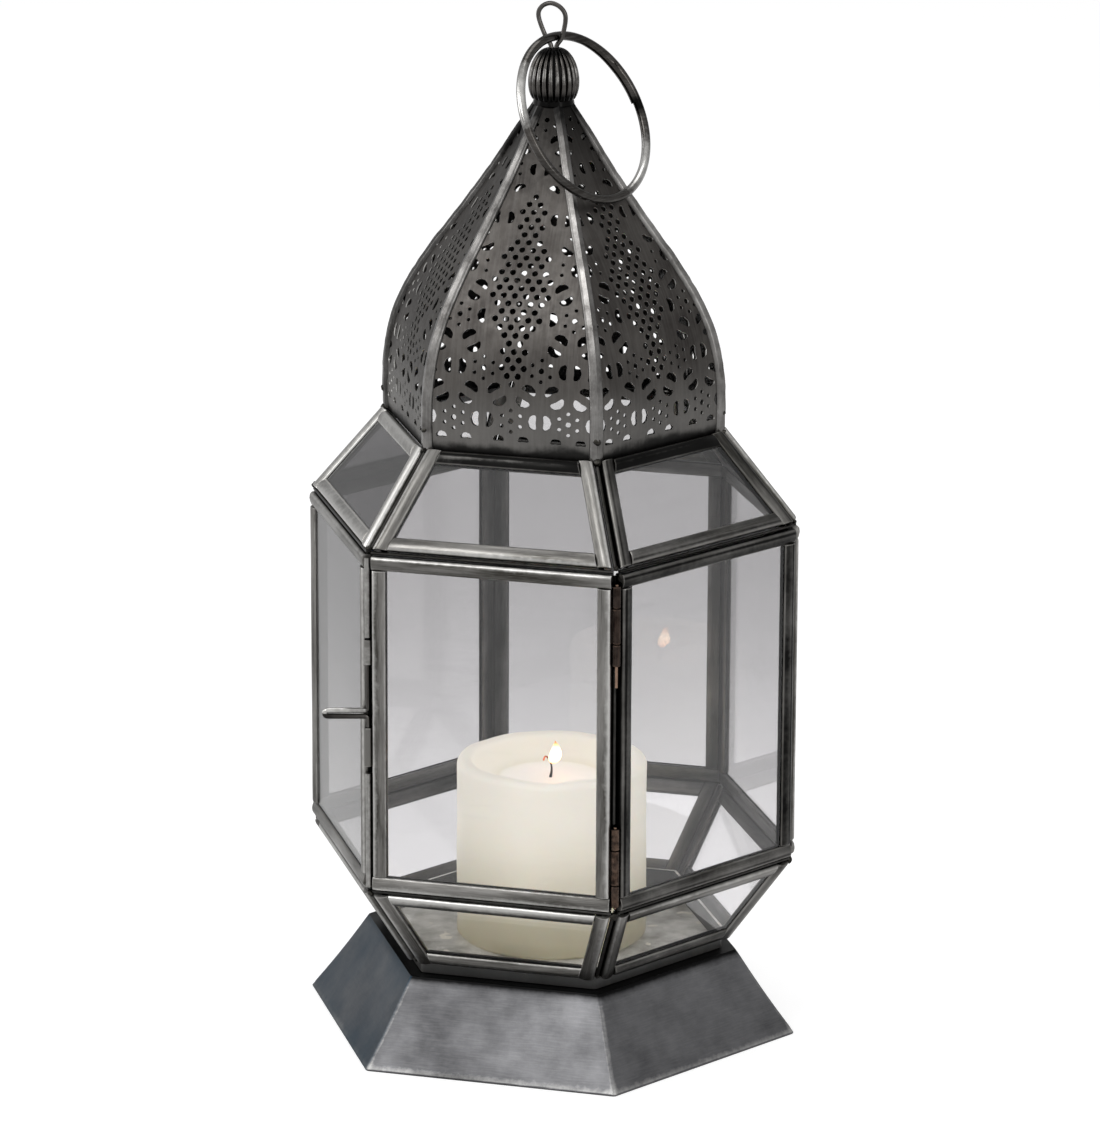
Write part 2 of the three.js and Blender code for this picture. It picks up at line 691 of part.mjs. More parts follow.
// The bead's outline is an ellipse cut off where the stem passes and where it stands on the collar
function finialGeometry() {
  const low = -Math.acos(FINIAL_FOOT_RADIUS / FINIAL_RADIUS);
  const high = Math.acos(FINIAL_TOP_RADIUS / FINIAL_RADIUS);
  const unit = FINIAL_HEIGHT / (Math.sin(high) - Math.sin(low));
  const profile = [[stemBore, finialBase]];
  for (let i = 0; i <= BEAD_STEPS; i += 1) {
    const angle = low + ((high - low) * i) / BEAD_STEPS;
    const height = finialBase + unit * (Math.sin(angle) - Math.sin(low));
    profile.push([FINIAL_RADIUS * Math.cos(angle), height]);
  }
  profile.push([stemBore, finialTop], [stemBore, finialBase]);
  const bead = turned(profile, 2 * FLUTES);
  return reshape(bead, (point) => {
    const radius = Math.hypot(point.x, point.y);
    if (radius < stemBore + CLEARANCE) {
      return point;
    }
    const flute = Math.cos(FLUTES * Math.atan2(point.y, point.x));
    const swell = radius / FINIAL_RADIUS;
    const scale = (radius + (FINIAL_FLUTE_DEPTH / 2) * swell * (flute - 1)) / radius;
    return point.set(point.x * scale, point.y * scale, point.z);
  });
}

function eyeGeometry() {
  const root = finialTop + EYE_WIRE / 2;
  const throat = finialTop + EYE_THROAT_HEIGHT;
  const top = finialTop + EYE_HEIGHT - EYE_WIRE / 2;
  const half = (EYE_WIDTH - EYE_WIRE) / 2;
  const belly = top - half;
  const leg = EYE_WIRE / 2 + CLEARANCE / 2;
  const right = [along(leg, root), along(EYE_THROAT_WIDTH / 2, throat), along(half, belly)];
  right.push(along(half * Math.SQRT1_2, belly + half * Math.SQRT1_2));
  const left = right.map((point) => along(-point.x, point.z)).reverse();
  const loop = new THREE.CatmullRomCurve3([...right, along(0, top), ...left]);
  const stemTop = finialTop + EYE_WIRE;
  const stem = upright(EYE_STEM, stemTop - EYE_STEM_LENGTH, EYE_STEM_LENGTH);
  return geometryOf(solidOf(wire(loop.getPoints(EYE_STEPS), EYE_WIRE)).add(solidOf(stem)));
}

addPiece(lantern, 'finial_collar', collarGeometry(), 'frame');
addPiece(lantern, 'finial', finialGeometry(), 'wire');
addPiece(lantern, 'hanging_eye', eyeGeometry(), 'wire');

// The ring pivots in the eye's throat and lies down until it meets the dome's ribs

function domeClearance(point) {
  const rise = (point.z - domeSeat) / DOME_HEIGHT;
  if (rise < 0 || rise > 1) {
    return Infinity;
  }
  let low = 0;
  let high = 1;
  for (let i = 0; i < 30; i += 1) {
    const middle = (low + high) / 2;
    if (domeAt(middle).z < point.z) {
      low = middle;
    } else {
      high = middle;
    }
  }
  const { radius, slope } = domeAt(low);
  const heading = Math.atan2(point.y, point.x);
  const offset = Math.abs(heading - 2 * HALF_SIDE * Math.round(heading / (2 * HALF_SIDE)));
  const away = Math.hypot(point.x, point.y);
  const nearRib = away * Math.sin(offset) < (RIB_WIDTH + RING_WIRE) / 2;
  const flat = (radius * COS_HALF) / Math.cos(HALF_SIDE - offset);
  const reach = nearRib ? ribReach(low, 1) - away * Math.sin(offset) * TAN_HALF : flat;
  return (away - reach) / Math.hypot(1, slope);
}

const ringPivot = new THREE.Vector3(0, 0, finialTop + EYE_THROAT_HEIGHT);
const ringTangent = new THREE.Vector3(Math.sin(at(RING_AZIMUTH)), -Math.cos(at(RING_AZIMUTH)), 0);

// Direction from the pivot to the ring's middle at a tilt above straight down
function ringFall(tilt) {
  const level = new THREE.Vector3(Math.cos(at(RING_AZIMUTH)), Math.sin(at(RING_AZIMUTH)), 0);
  return level.multiplyScalar(Math.sin(tilt)).setZ(-Math.cos(tilt));
}

function ringGap(tilt) {
  const fall = ringFall(tilt);
  const gaps = Array.from({ length: 6 * RING_STEPS }, (_, i) => {
    const angle = (Math.PI * i) / (3 * RING_STEPS);
    const point = ringPivot.clone().addScaledVector(fall, RING_RADIUS * (1 - Math.cos(angle)));
    return domeClearance(point.addScaledVector(ringTangent, RING_RADIUS * Math.sin(angle)));
  });
  return Math.min(...gaps);
}

function restingTilt() {
  const step = at(0.1);
  let tilt = 0;
  while (tilt < Math.PI / 2 && ringGap(tilt) < RING_WIRE / 2 + CLEARANCE) {
    tilt += step;
  }
  return tilt;
}

const ringTilt = restingTilt();
const fall = ringFall(ringTilt);
const ringGeometry = new THREE.TorusGeometry(RING_RADIUS, RING_WIRE / 2, 2 * WIRE_FACETS, RING_STEPS);
const ring = addPiece(lantern, 'hanging_ring', ringGeometry, 'wire');
const ringNormal = ringTangent.clone().cross(fall);
ring.quaternion.setFromRotationMatrix(new THREE.Matrix4().makeBasis(ringTangent, fall, ringNormal));
ring.position.copy(ringPivot).addScaledVector(fall, RING_RADIUS);

// Candle and wick

const candleBase = floorTop + CLEARANCE;
const candleTop = candleBase + CANDLE_HEIGHT;
const poolLevel = candleTop - POOL_DEPTH;
const wickBore = WICK_DIAMETER / 2 + CLEARANCE;
const wickFoot = poolLevel - WICK_ROOT;

function candleGeometry() {
  const radius = CANDLE_DIAMETER / 2;
  const rimInner = radius - CANDLE_RIM;
  const round = new THREE.EllipseCurve(
    radius - CANDLE_ROUND,
    candleTop - CANDLE_ROUND,
    CANDLE_ROUND,
    CANDLE_ROUND,
    0,
    Math.PI / 2,
  );
  const shoulder = round.getPoints(3).map((point) => [point.x, point.y]);
  return turned(
    [
      [0, candleBase],
      [radius, candleBase],
      ...shoulder,
      [rimInner, candleTop - CANDLE_ROUND / 4],
      [POOL_RADIUS, poolLevel],
      [wickBore, poolLevel],
      [wickBore, wickFoot],
      [0, wickFoot],
    ],
    ROUND_STEPS,
  );
}

function wickGeometry() {
  const tip = poolLevel + WICK_HEIGHT;
  const run = new THREE.CatmullRomCurve3([
    along(0, wickFoot + CLEARANCE),
    along(0, poolLevel),
    along(0.2, tip - WICK_CURL),
    along(-WICK_CURL / 2, tip),
    along(-WICK_CURL, tip - WICK_CURL),
  ]);
  return wire(run.getPoints(3 * BEND_STEPS), WICK_DIAMETER);
}

addPiece(lantern, 'candle', candleGeometry(), 'wax');
addPiece(lantern, 'wick', wickGeometry(), 'wick');

export default lantern;
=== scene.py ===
import math
from functools import partial
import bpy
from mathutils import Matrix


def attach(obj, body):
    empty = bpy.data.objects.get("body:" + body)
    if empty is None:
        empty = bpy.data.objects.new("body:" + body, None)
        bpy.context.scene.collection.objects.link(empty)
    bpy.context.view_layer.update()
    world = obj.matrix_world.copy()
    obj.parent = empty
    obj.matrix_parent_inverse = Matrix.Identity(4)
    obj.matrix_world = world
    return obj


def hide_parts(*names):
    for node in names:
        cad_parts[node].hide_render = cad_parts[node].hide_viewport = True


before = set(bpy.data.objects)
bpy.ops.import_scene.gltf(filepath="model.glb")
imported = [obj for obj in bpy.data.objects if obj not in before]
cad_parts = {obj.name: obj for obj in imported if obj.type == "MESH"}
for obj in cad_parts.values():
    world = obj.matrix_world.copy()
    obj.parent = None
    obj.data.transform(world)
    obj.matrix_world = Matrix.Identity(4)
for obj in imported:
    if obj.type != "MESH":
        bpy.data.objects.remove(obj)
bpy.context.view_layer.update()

from types import SimpleNamespace

import bmesh
import bpy
import numpy as np
from bpy.props import FloatProperty, FloatVectorProperty, IntProperty, PointerProperty
from mathutils import Matrix, Vector, noise

bl_info = {
    "name": "Hexagonal candle lantern",
    "version": (1, 0, 0),
    "blender": (4, 5, 0),
    "location": "View3D > Sidebar > Lantern",
    "description": "Dresses a glazed zinc lantern with a pierced onion dome and a lit pillar candle",
    "category": "Add Mesh",
}

SIDES = 6
HALF_SIDE = math.pi / SIDES
TAN_HALF = math.tan(HALF_SIDE)
COS_HALF = math.cos(HALF_SIDE)
SIDE_NAMES = ("back_right", "back", "back_left", "front_left", "front", "front_right")
CORNER_NAMES = ("right", "back_right", "back_left", "left", "front_left", "front_right")
DOOR_SIDE = SIDE_NAMES.index("front")
HINGE_CORNER = CORNER_NAMES.index("front_right")
LATCH_CORNER = CORNER_NAMES.index("front_left")
WHITE = (1, 1, 1, 1)


def linear(hex_colour):
    """An sRGB hex colour as linear red, green and blue."""
    parts = [int(hex_colour[i : i + 2], 16) / 255 for i in (0, 2, 4)]
    return tuple(p / 12.92 if p <= 0.04045 else ((p + 0.055) / 1.055) ** 2.4 for p in parts)


def length(label, words, size):
    """A length that a user would change."""
    return FloatProperty(name=label, description=words, default=size, min=0, unit="LENGTH", precision=5)


def angle(label, words, degrees):
    """An angle that a user would change."""
    return FloatProperty(name=label, description=words, default=math.radians(degrees), subtype="ANGLE")


def tint(label, words, hex_colour):
    """A colour that a user would change."""
    return FloatVectorProperty(
        name=label, description=words, default=linear(hex_colour), min=0, max=1, size=3, subtype="COLOR"
    )


# Sizes and colours that a user would change


class LanternBody(bpy.types.PropertyGroup):
    """The glazed body: three tiers of framed panes."""

    body_flats: length("Body flats", "Across the upright frames' outer faces", 0.164)
    waist_flats: length("Waist flats", "Across the lower frames' inner bottom edges", 0.1158)
    neck_flats: length("Neck flats", "Across the shoulder frames' inner top edges", 0.1076)
    waist_height: length("Waist height", "Lower frames' bottom edge above the ground", 0.0385)
    lower_rise: length("Lower rise", "Height of the lower tier", 0.0316)
    side_height: length("Side height", "Height of the upright tier", 0.1264)
    shoulder_rise: length("Shoulder rise", "Height of the shoulder tier", 0.0322)
    bar_width: length("Bar width", "Face of the channel round each pane", 0.0052)
    bar_depth: length("Bar depth", "Front to back of the channel", 0.0046)
    bar_round: length("Bar round", "Rounding of the channel's front edges", 0.0009)
    glass: length("Glass", "Thickness of a pane", 0.002)
    rebate: length("Rebate", "How far a pane reaches into its channel", 0.002)
    seam: length("Seam", "Gap between neighbouring pieces", 0.0003)
    groove_rod: length("Groove rod", "Diameter of the soldered rod in each groove", 0.0015)


class LanternHinges(bpy.types.PropertyGroup):
    """Hinges and turn latch in the grooves beside the door."""

    knuckle: length("Knuckle", "Outside diameter of the rolled tubes", 0.003)
    web: length("Web", "Thickness of the leaf that carries a tube", 0.001)
    fixed_knuckle: length("Fixed knuckle", "Length of each outer knuckle", 0.008)
    door_knuckle: length("Door knuckle", "Length of the middle knuckle", 0.013)
    pin: length("Pin", "Diameter of the hinge pin", 0.0012)
    pin_tail: length("Pin tail", "Upper pin below its hinge", 0.008)
    upper_drop: length("Upper drop", "Upper hinge below the door's top edge", 0.004)
    lower_lift: length("Lower lift", "Lower hinge above the door's bottom edge", 0.002)
    latch_wire: length("Latch wire", "Diameter of the latch wire", 0.0015)
    latch_height: length("Latch height", "Handle above the door's bottom edge", 0.068)
    latch_reach: length("Latch reach", "Length of the handle", 0.0163)
    latch_spread: length("Latch spread", "Between the handle's two legs", 0.0022)
    latch_bend: length("Latch bend", "Bend radius of the handle", 0.001)
    upper_sleeve: length("Upper sleeve", "Length of the upper sleeve", 0.0094)
    upper_sleeve_gap: length("Upper sleeve gap", "Upper sleeve above the handle", 0.0173)
    lower_sleeve: length("Lower sleeve", "Length of the lower sleeve", 0.0147)
    lower_sleeve_gap: length("Lower sleeve gap", "Lower sleeve below the handle", 0.0042)
    latch_azimuth: angle("Latch azimuth", "Way the handle points", 195.6)


class LanternFoot(bpy.types.PropertyGroup):
    """The flared foot of folded sheet."""

    height: length("Height", "Ground to the top flange", 0.0313)
    flats: length("Flats", "Across flats at the hem", 0.1638)
    top_flats: length("Top flats", "Across flats at the top", 0.1244)
    sheet: length("Sheet", "Thickness of the sheet", 0.0012)
    hem_height: length("Hem height", "Upright edge at the bottom", 0.001)
    hem_width: length("Hem width", "Resting face", 0.0034)
    flange: length("Flange", "Inward flange that carries the floor", 0.009)
    corner: length("Corner", "Corner radius outside", 0.0015)
    inner_corner: length("Inner corner", "Corner radius inside the hem", 0.0005)


class LanternDome(bpy.types.PropertyGroup):
    """The onion dome and its piercing."""

    seat: length("Seat", "Height of the dome's bottom edge", 0.230026)
    height: length("Height", "Seat to top", 0.118)
    base_radius: length("Base radius", "Corner radius at the seat", 0.06374)
    belly_swell: length("Belly swell", "First control point beyond the base radius", 0.0044)
    belly_rise: length("Belly rise", "First control point above the seat", 0.0537)
    waist_radius: length("Waist radius", "Second control point from the axis", 0.0402)
    waist_rise: length("Waist rise", "Second control point above the seat", 0.0593)
    top_radius: length("Top radius", "Corner radius at the top", 0.0076)
    sheet: length("Sheet", "Thickness of the sheet", 0.001)
    rib_width: length("Rib width", "Width of a rib at the seat", 0.0052)
    rib_top_width: length("Rib top width", "Width of a rib at the top", 0.0036)
    rib_thickness: length("Rib thickness", "How far a rib stands off the corner", 0.0012)
    flower_pitch: length("Flower pitch", "Between flowers of one row", 0.0214)
    row_pitch: length("Row pitch", "Between rows of flowers", 0.01875)
    first_row: length("First row", "First row of flowers above the seat", 0.0132)
    petal_circle: length("Petal circle", "Radius of the ring of petals", 0.0081)
    petal_length: length("Petal length", "Length of a pierced petal", 0.0056)
    petal_width: length("Petal width", "Width of a pierced petal", 0.0029)
    seed_circle: length("Seed circle", "Radius of the ring of dots in a flower", 0.0039)
    petal_bow: length("Petal bow", "How far a petal's ends bend away from its flower", 0.0009)
    heart: length("Heart", "Diameter of the dot in a flower's middle", 0.0021)
    seed: length("Seed", "Diameter of the dots round it", 0.0015)
    dot: length("Dot", "Diameter of the dots of the lozenge", 0.0024)
    lozenge_pitch: length("Lozenge pitch", "Between dots of the lozenge", 0.0041)
    lozenge_row: length("Lozenge row", "Between rows of the lozenge", 0.00292)
    lozenge_start: length("Lozenge start", "Lowest dot of the lozenge above the seat", 0.0265)


class LanternCrown(bpy.types.PropertyGroup):
    """Collar, fluted bead, eye and hanging ring."""

    collar_radius: length("Collar radius", "Outside of the collar", 0.0076)
    collar_height: length("Collar height", "Height of the collar", 0.0022)
    bead_radius: length("Bead radius", "Widest radius of the bead", 0.0094)
    bead_height: length("Bead height", "Height of the bead", 0.0174)
    bead_foot: length("Bead foot", "Radius where the bead stands on the collar", 0.007)
    bead_top: length("Bead top", "Radius where the eye leaves the bead", 0.0034)
    flutes: IntProperty(name="Flutes", description="Lobes round the bead", default=22, min=3)
    eye_width: length("Eye width", "Outside width of the eye", 0.0118)
    eye_height: length("Eye height", "Top of the eye above the bead", 0.0174)
    eye_wire: length("Eye wire", "Diameter of the eye's wire", 0.0017)
    throat_height: length("Throat height", "Where the ring hangs above the bead", 0.0044)
    throat_width: length("Throat width", "Between the eye's legs there", 0.0062)
    ring_radius: length("Ring radius", "Middle radius of the ring", 0.0312)
    ring_wire: length("Ring wire", "Diameter of the ring's wire", 0.0033)
    ring_azimuth: angle("Ring azimuth", "Side of the dome it lies on", -24)
    ring_tilt: angle("Ring tilt", "Lean from straight down", 27.1)


class LanternCandle(bpy.types.PropertyGroup):
    """The pillar candle."""

    base: length("Base", "Underside above the ground", 0.0329)
    diameter: length("Diameter", "Across the pillar", 0.07)
    height: length("Height", "Underside to rim", 0.0676)
    rim: length("Rim", "Thickness of the rim", 0.006)
    pool_depth: length("Pool depth", "Rim to melted pool", 0.008)
    pool_radius: length("Pool radius", "Radius of the flat pool", 0.0185)
    wick: length("Wick", "Diameter of the wick", 0.0016)
    wick_height: length("Wick height", "Wick above the pool", 0.0085)
    flame_height: length("Flame height", "Length of the flame", 0.0088)
    flame_width: length("Flame width", "Width of the flame", 0.0046)


class LanternColours(bpy.types.PropertyGroup):
    """Colours of the finishes."""

    zinc: tint("Zinc", "Antiqued zinc frames", "8b8986")
    zinc_dark: tint("Dark zinc", "Patina in the frames", "36342f")
    # Also painted as highlight where the wear attribute carries painted light
    zinc_worn: tint("Worn zinc", "Rubbed edges", "d2d1ce")
    # Also painted as shade under the frames, along the dome's hem and on the floor's rim
    crevice: tint("Crevice", "Flux and soot in the grooves", "0b0b0b")
    sheet: tint("Dome sheet", "Pierced sheet", "54514e")
    sheet_dark: tint("Dark dome sheet", "Smoked patches of the sheet", "373432")
    rib: tint("Rib", "Rubbed ribs", "8a8886")
    rib_dark: tint("Dark rib", "Patina on the ribs", "4a4846")
    foot: tint("Foot", "Brushed foot", "6c6c6e")
    foot_dark: tint("Dark foot", "Smoked patches of the foot", "4c4c4e")
    floor: tint("Floor", "Floor tray", "f2f1ec")
    floor_dark: tint("Dark floor", "Stains on the floor", "9c9b93")
    wire: tint("Wire", "Eye, bead and latch", "625f5c")
    ring: tint("Ring", "Hanging ring", "474441")
    wire_dark: tint("Dark wire", "Patina on the wire", "2d2b29")
    copper: tint("Copper", "Copper stain on the hinges", "a88b78")
    hinge_dark: tint("Dark hinge", "Blackened hinge metal", "1c1614")
    hinge: tint("Hinge", "Hinge metal", "3b332f")
    # Painted shade: the foot's faces that look left take this colour
    slate: tint("Slate", "Blue-black bath stain on the foot", "2a3d4b")
    glass_low: tint("Glass below", "Pane near the floor", "edeced")
    # Painted shade: the panes take this grey towards the top
    glass_high: tint("Glass above", "Pane with smoke haze near the top", "c8c7c8")
    wax: tint("Wax", "Pillar wax", "f5f1e4")
    # Also the painted shade in the candle's hollow
    wax_low: tint("Low wax", "Wax near the floor", "ddd6b6")
    wax_pool: tint("Wax pool", "Melted wax round the wick", "f6efe9")
    char: tint("Char", "Burnt wick", "1c1815")


def sizes(group):
    """The scene's values of one property group."""
    return getattr(bpy.context.scene, "lantern_" + group)


# Mesh and node helpers


def placed(name, data):
    """A new object in the scene."""
    made = bpy.data.objects.new(name, data)
    bpy.context.scene.collection.objects.link(made)
    return made


def fill(node, inputs):
    """Sets or links a node's inputs, by name or place. A list links several outputs to one input."""
    for key, value in inputs.items():
        for item in value if isinstance(value, list) else [value]:
            if isinstance(item, bpy.types.NodeSocket):
                node.id_data.links.new(item, node.inputs[key])
            else:
                node.inputs[key].default_value = item


def add_node(tree, kind, inputs=None, **settings):
    """Adds a node with its settings and links, and returns its outputs."""
    made = tree.nodes.new(kind)
    for key, value in settings.items():
        setattr(made, key, value)
    fill(made, inputs or {})
    return made.outputs


def spot(place, scale):
    """A steady noise value at a point, for hand-made unevenness."""
    return noise.noise(Vector(place) * scale)


def finished(name, mesh, material, body, nodes=(), sharp=35):
    """Makes a mesh a piece of the lantern that rides on a body and may stand for CAD nodes."""
    mesh.materials.clear()
    mesh.materials.append(material)
    mesh.shade_smooth()
    mesh.set_sharp_from_angle(angle=math.radians(sharp))
    piece = placed(name, mesh)
    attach(piece, body)
    if nodes:
        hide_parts(*nodes)


class Skin:
    """Closed shells of one piece, with a value at each point for wear and for painted highlight and shade,
    and how the metal's grain runs.
    """

    def __init__(self):
        self.points, self.faces, self.wear, self.grain = [], [], [], []

    def loft(self, rings, wear=0.0, grain=0.0, closed=False, place=None):
        """Joins rings of points into a shell. Each ring closes on itself; the ends are capped."""
        rings = np.asarray(rings, float)
        count, around = rings.shape[:2]
        flat = rings.reshape(-1, 3)
        if place is not None:
            turn = np.array(place)
            flat = flat @ turn[:3, :3].T + turn[:3, 3]
        start = len(self.points)
        self.points.extend(flat.tolist())
        self.wear.extend(np.broadcast_to(wear, (count, around)).ravel().tolist())
        self.grain.extend(np.broadcast_to(grain, (count, around, 3)).reshape(-1, 3).tolist())
        for i in range(count if closed else count - 1):
            low = start + i * around
            high = start + ((i + 1) % count) * around
            for j in range(around):
                k = (j + 1) % around
                self.faces.append((low + j, low + k, high + k, high + j))
        if not closed:
            self.faces.append(tuple(range(start + around - 1, start - 1, -1)))
            self.faces.append(tuple(range(start + (count - 1) * around, start + count * around)))

    def tube(self, path, radius, around=12, wear=0.0, squeeze=None):
        """A round wire along a path. Radius may vary along it; squeeze reshapes its section."""
        path = np.asarray(path, float)
        ahead = np.gradient(path, axis=0)
        ahead /= np.linalg.norm(ahead, axis=1)[:, None]
        side = np.cross(ahead[0], (0.0, 0.0, 1.0))
        if np.linalg.norm(side) < 1e-3:
            side = np.cross(ahead[0], (1.0, 0.0, 0.0))
        radii = np.broadcast_to(radius, len(path))
        turns = 2 * math.pi * np.arange(around) / around
        walked = np.concatenate(([0], np.cumsum(np.linalg.norm(np.diff(path, axis=0), axis=1))))
        rings, grain = [], []
        for i, point in enumerate(path):
            side = side - ahead[i] * np.dot(side, ahead[i])
            side /= np.linalg.norm(side)
            up = np.cross(side, ahead[i])
            section = np.stack((np.cos(turns), np.sin(turns)), axis=1) * radii[i]
            if squeeze is not None:
                section = squeeze(i, section, side, up)
            rings.append(point + section[:, :1] * side + section[:, 1:] * up)
            grain.append(np.stack((np.full(around, walked[i]), radii[i] * turns, np.zeros(around)), axis=1))
        self.loft(rings, wear, np.array(grain))

    def turned(self, profile, around, wear=0.0, place=None):
        """Revolves a closed profile of radius and height about Z."""
        turns = 2 * math.pi * np.arange(around) / around
        rings = [[(r * math.cos(t), r * math.sin(t), z) for t in turns] for r, z in profile]
        self.loft(rings, wear, closed=True, place=place)

    def piece(self, name, material, body, nodes=(), slot=None, sharp=35):
        """Makes the shells one piece of the lantern."""
        mesh = bpy.data.meshes.new(name)
        mesh.from_pydata(self.points, [], self.faces)
        mesh.attributes.new("wear", "FLOAT", "POINT").data.foreach_set("value", self.wear)
        grain = np.array(self.grain, np.float32).ravel()
        mesh.attributes.new("grain", "FLOAT_VECTOR", "POINT").data.foreach_set("vector", grain)
        shape = bmesh.new()
        shape.from_mesh(mesh)
        bmesh.ops.recalc_face_normals(shape, faces=shape.faces)
        shape.to_mesh(mesh)
        shape.free()
        finished(name, mesh, material, body, nodes, sharp)


def smooth_path(points, steps):
    """A smooth run through points, with some steps between neighbours."""
    points = np.asarray(points, float)
    padded = np.vstack((2 * points[0] - points[1], points, 2 * points[-1] - points[-2]))
    run = []
    for i in range(1, len(points)):
        a, b, c, d = padded[i - 1 : i + 3]
        for t in np.linspace(0, 1, steps, endpoint=False):
            even = 2 * b + (c - a) * t
            curve = (2 * a - 5 * b + 4 * c - d) * t * t + (3 * b - a - 3 * c + d) * t**3
            run.append((even + curve) / 2)
    run.append(points[-1])
    return np.array(run)


def bent_run(corners, radius, steps=6):
    """Straight runs joined by round bends."""
    corners = [Vector(c) for c in corners]
    run = [corners[0]]
    for before, corner, after in zip(corners, corners[1:], corners[2:]):
        back = (before - corner).normalized()
        on = (after - corner).normalized()
        inset = radius / math.tan(back.angle(on) / 2)
        start, end = corner + back * inset, corner + on * inset
        for t in np.linspace(0, 1, steps):
            run.append(start.lerp(corner, t).lerp(corner.lerp(end, t), t))
    run.append(corners[-1])
    return np.array([tuple(p) for p in run])


def nodes_mesh(name, tree, values, source=None):
    """Runs a geometry node tree on a source mesh, or on none, and returns the result as a plain mesh."""
    holder = placed(name + "_source", source or bpy.data.meshes.new("none"))
    modifier = holder.modifiers.new("Shape", "NODES")
    modifier.node_group = tree
    for socket in tree.interface.items_tree:
        if socket.in_out == "INPUT" and socket.name in values:
            modifier[socket.identifier] = values[socket.name]
    bpy.context.view_layer.update()
    seen = holder.evaluated_get(bpy.context.evaluated_depsgraph_get())
    mesh = bpy.data.meshes.new_from_object(seen)
    bpy.data.objects.remove(holder)
    mesh.name = name
    return mesh


def shape_tree(name, *lengths):
    """Starts a geometry node tree that takes a geometry, named lengths and a material. Returns the function
    that adds its nodes, and its inputs."""
    tree = bpy.data.node_groups.new(name, "GeometryNodeTree")
    kinds = {"Geometry": "NodeSocketGeometry", "Material": "NodeSocketMaterial", "Copies": "NodeSocketInt"}
    for label in ("Geometry", *lengths, "Material"):
        tree.interface.new_socket(label, in_out="INPUT", socket_type=kinds.get(label, "NodeSocketFloat"))
    tree.interface.new_socket("Geometry", in_out="OUTPUT", socket_type="NodeSocketGeometry")
    add = partial(add_node, tree)
    return add, add("NodeGroupInput")


def closed_tree(add, shape, given):
    """Gives a shape its material, makes it the tree's result and returns the tree."""
    done = add("GeometryNodeSetMaterial", {"Geometry": shape, "Material": given["Material"]})[0]
    add("NodeGroupOutput", {"Geometry": done})
    return done.id_data


# Finishes


def opened(material):
    """The function that adds to a material's nodes, and its main shader."""
    tree = material.node_tree
    return partial(add_node, tree), tree.nodes["Principled BSDF"]


def new_material(name):
    """A material, the function that adds to its nodes and its main shader."""
    material = bpy.data.materials.new(name)
    material.use_nodes = True
    return material, *opened(material)


# Sheet zinc as most pieces have it: the way its rubbing lines run and how far apart they and its clouds are
PLAIN_ZINC = dict(
    worn="zinc_worn", along="height", roughness=0.38, cloud_mm=26, lines_mm=0.4,
    worn_share=0.8, rub_share=0.16, scored=0.22,
)
# What differs in each finish, and its colours in the clouds, between them and on rubbed edges
FINISHES = {
    # Folded channel of the frames: small drawn-out clouds, bright edges
    "antiqued_zinc_channel": dict(mid="zinc", dark="zinc_dark", along="grain", roughness=0.33, cloud_mm=16),
    # Drawn wire and turned cap: smooth and dark, with shiny highlights
    "antiqued_zinc_wire": dict(
        mid="wire", dark="wire_dark", along="grain", roughness=0.2, cloud_mm=11, rub_share=0.08, scored=0.06
    ),
    # The ring's wire: smooth, dark in patches, with painted highlights and painted shade in stretches round
    # it
    "handled_zinc_ring": dict(
        mid="ring", dark="wire_dark", roughness=0.17, cloud_mm=24, rub_share=0.1, scored=0.05
    ),
    # Hinge tubes and pins: blackened, with a copper stain where they are rubbed
    "copper_stained_hinge": dict(
        mid="hinge", dark="hinge_dark", worn="copper", along="upright", roughness=0.26,
        cloud_mm=5, lines_mm=0.9, rub_share=0.1,
    ),
    # Brushed sheet of the foot: broad clouds, level brush lines
    "brushed_zinc_foot": dict(
        mid="foot", dark="foot_dark", roughness=0.42, cloud_mm=34, lines_mm=0.5,
        worn_share=0.5, rub_share=0.05,
    ),
    # Plain sheet of the floor: light and dull
    "wax_dulled_zinc_floor": dict(mid="floor", dark="floor_dark", roughness=0.36, cloud_mm=15, lines_mm=0.7),
    # Strips over the dome's seams: rubbed pale along their length
    "rubbed_zinc_rib": dict(
        mid="rib", dark="rib_dark", along="upright", roughness=0.3, cloud_mm=12, scored=0.1
    ),
    # Tin solder left as it set: blackened with the rest and barely rubbed
    "blackened_solder": dict(mid="zinc_dark", dark="crevice", worn="zinc", roughness=0.34, cloud_mm=5),
}


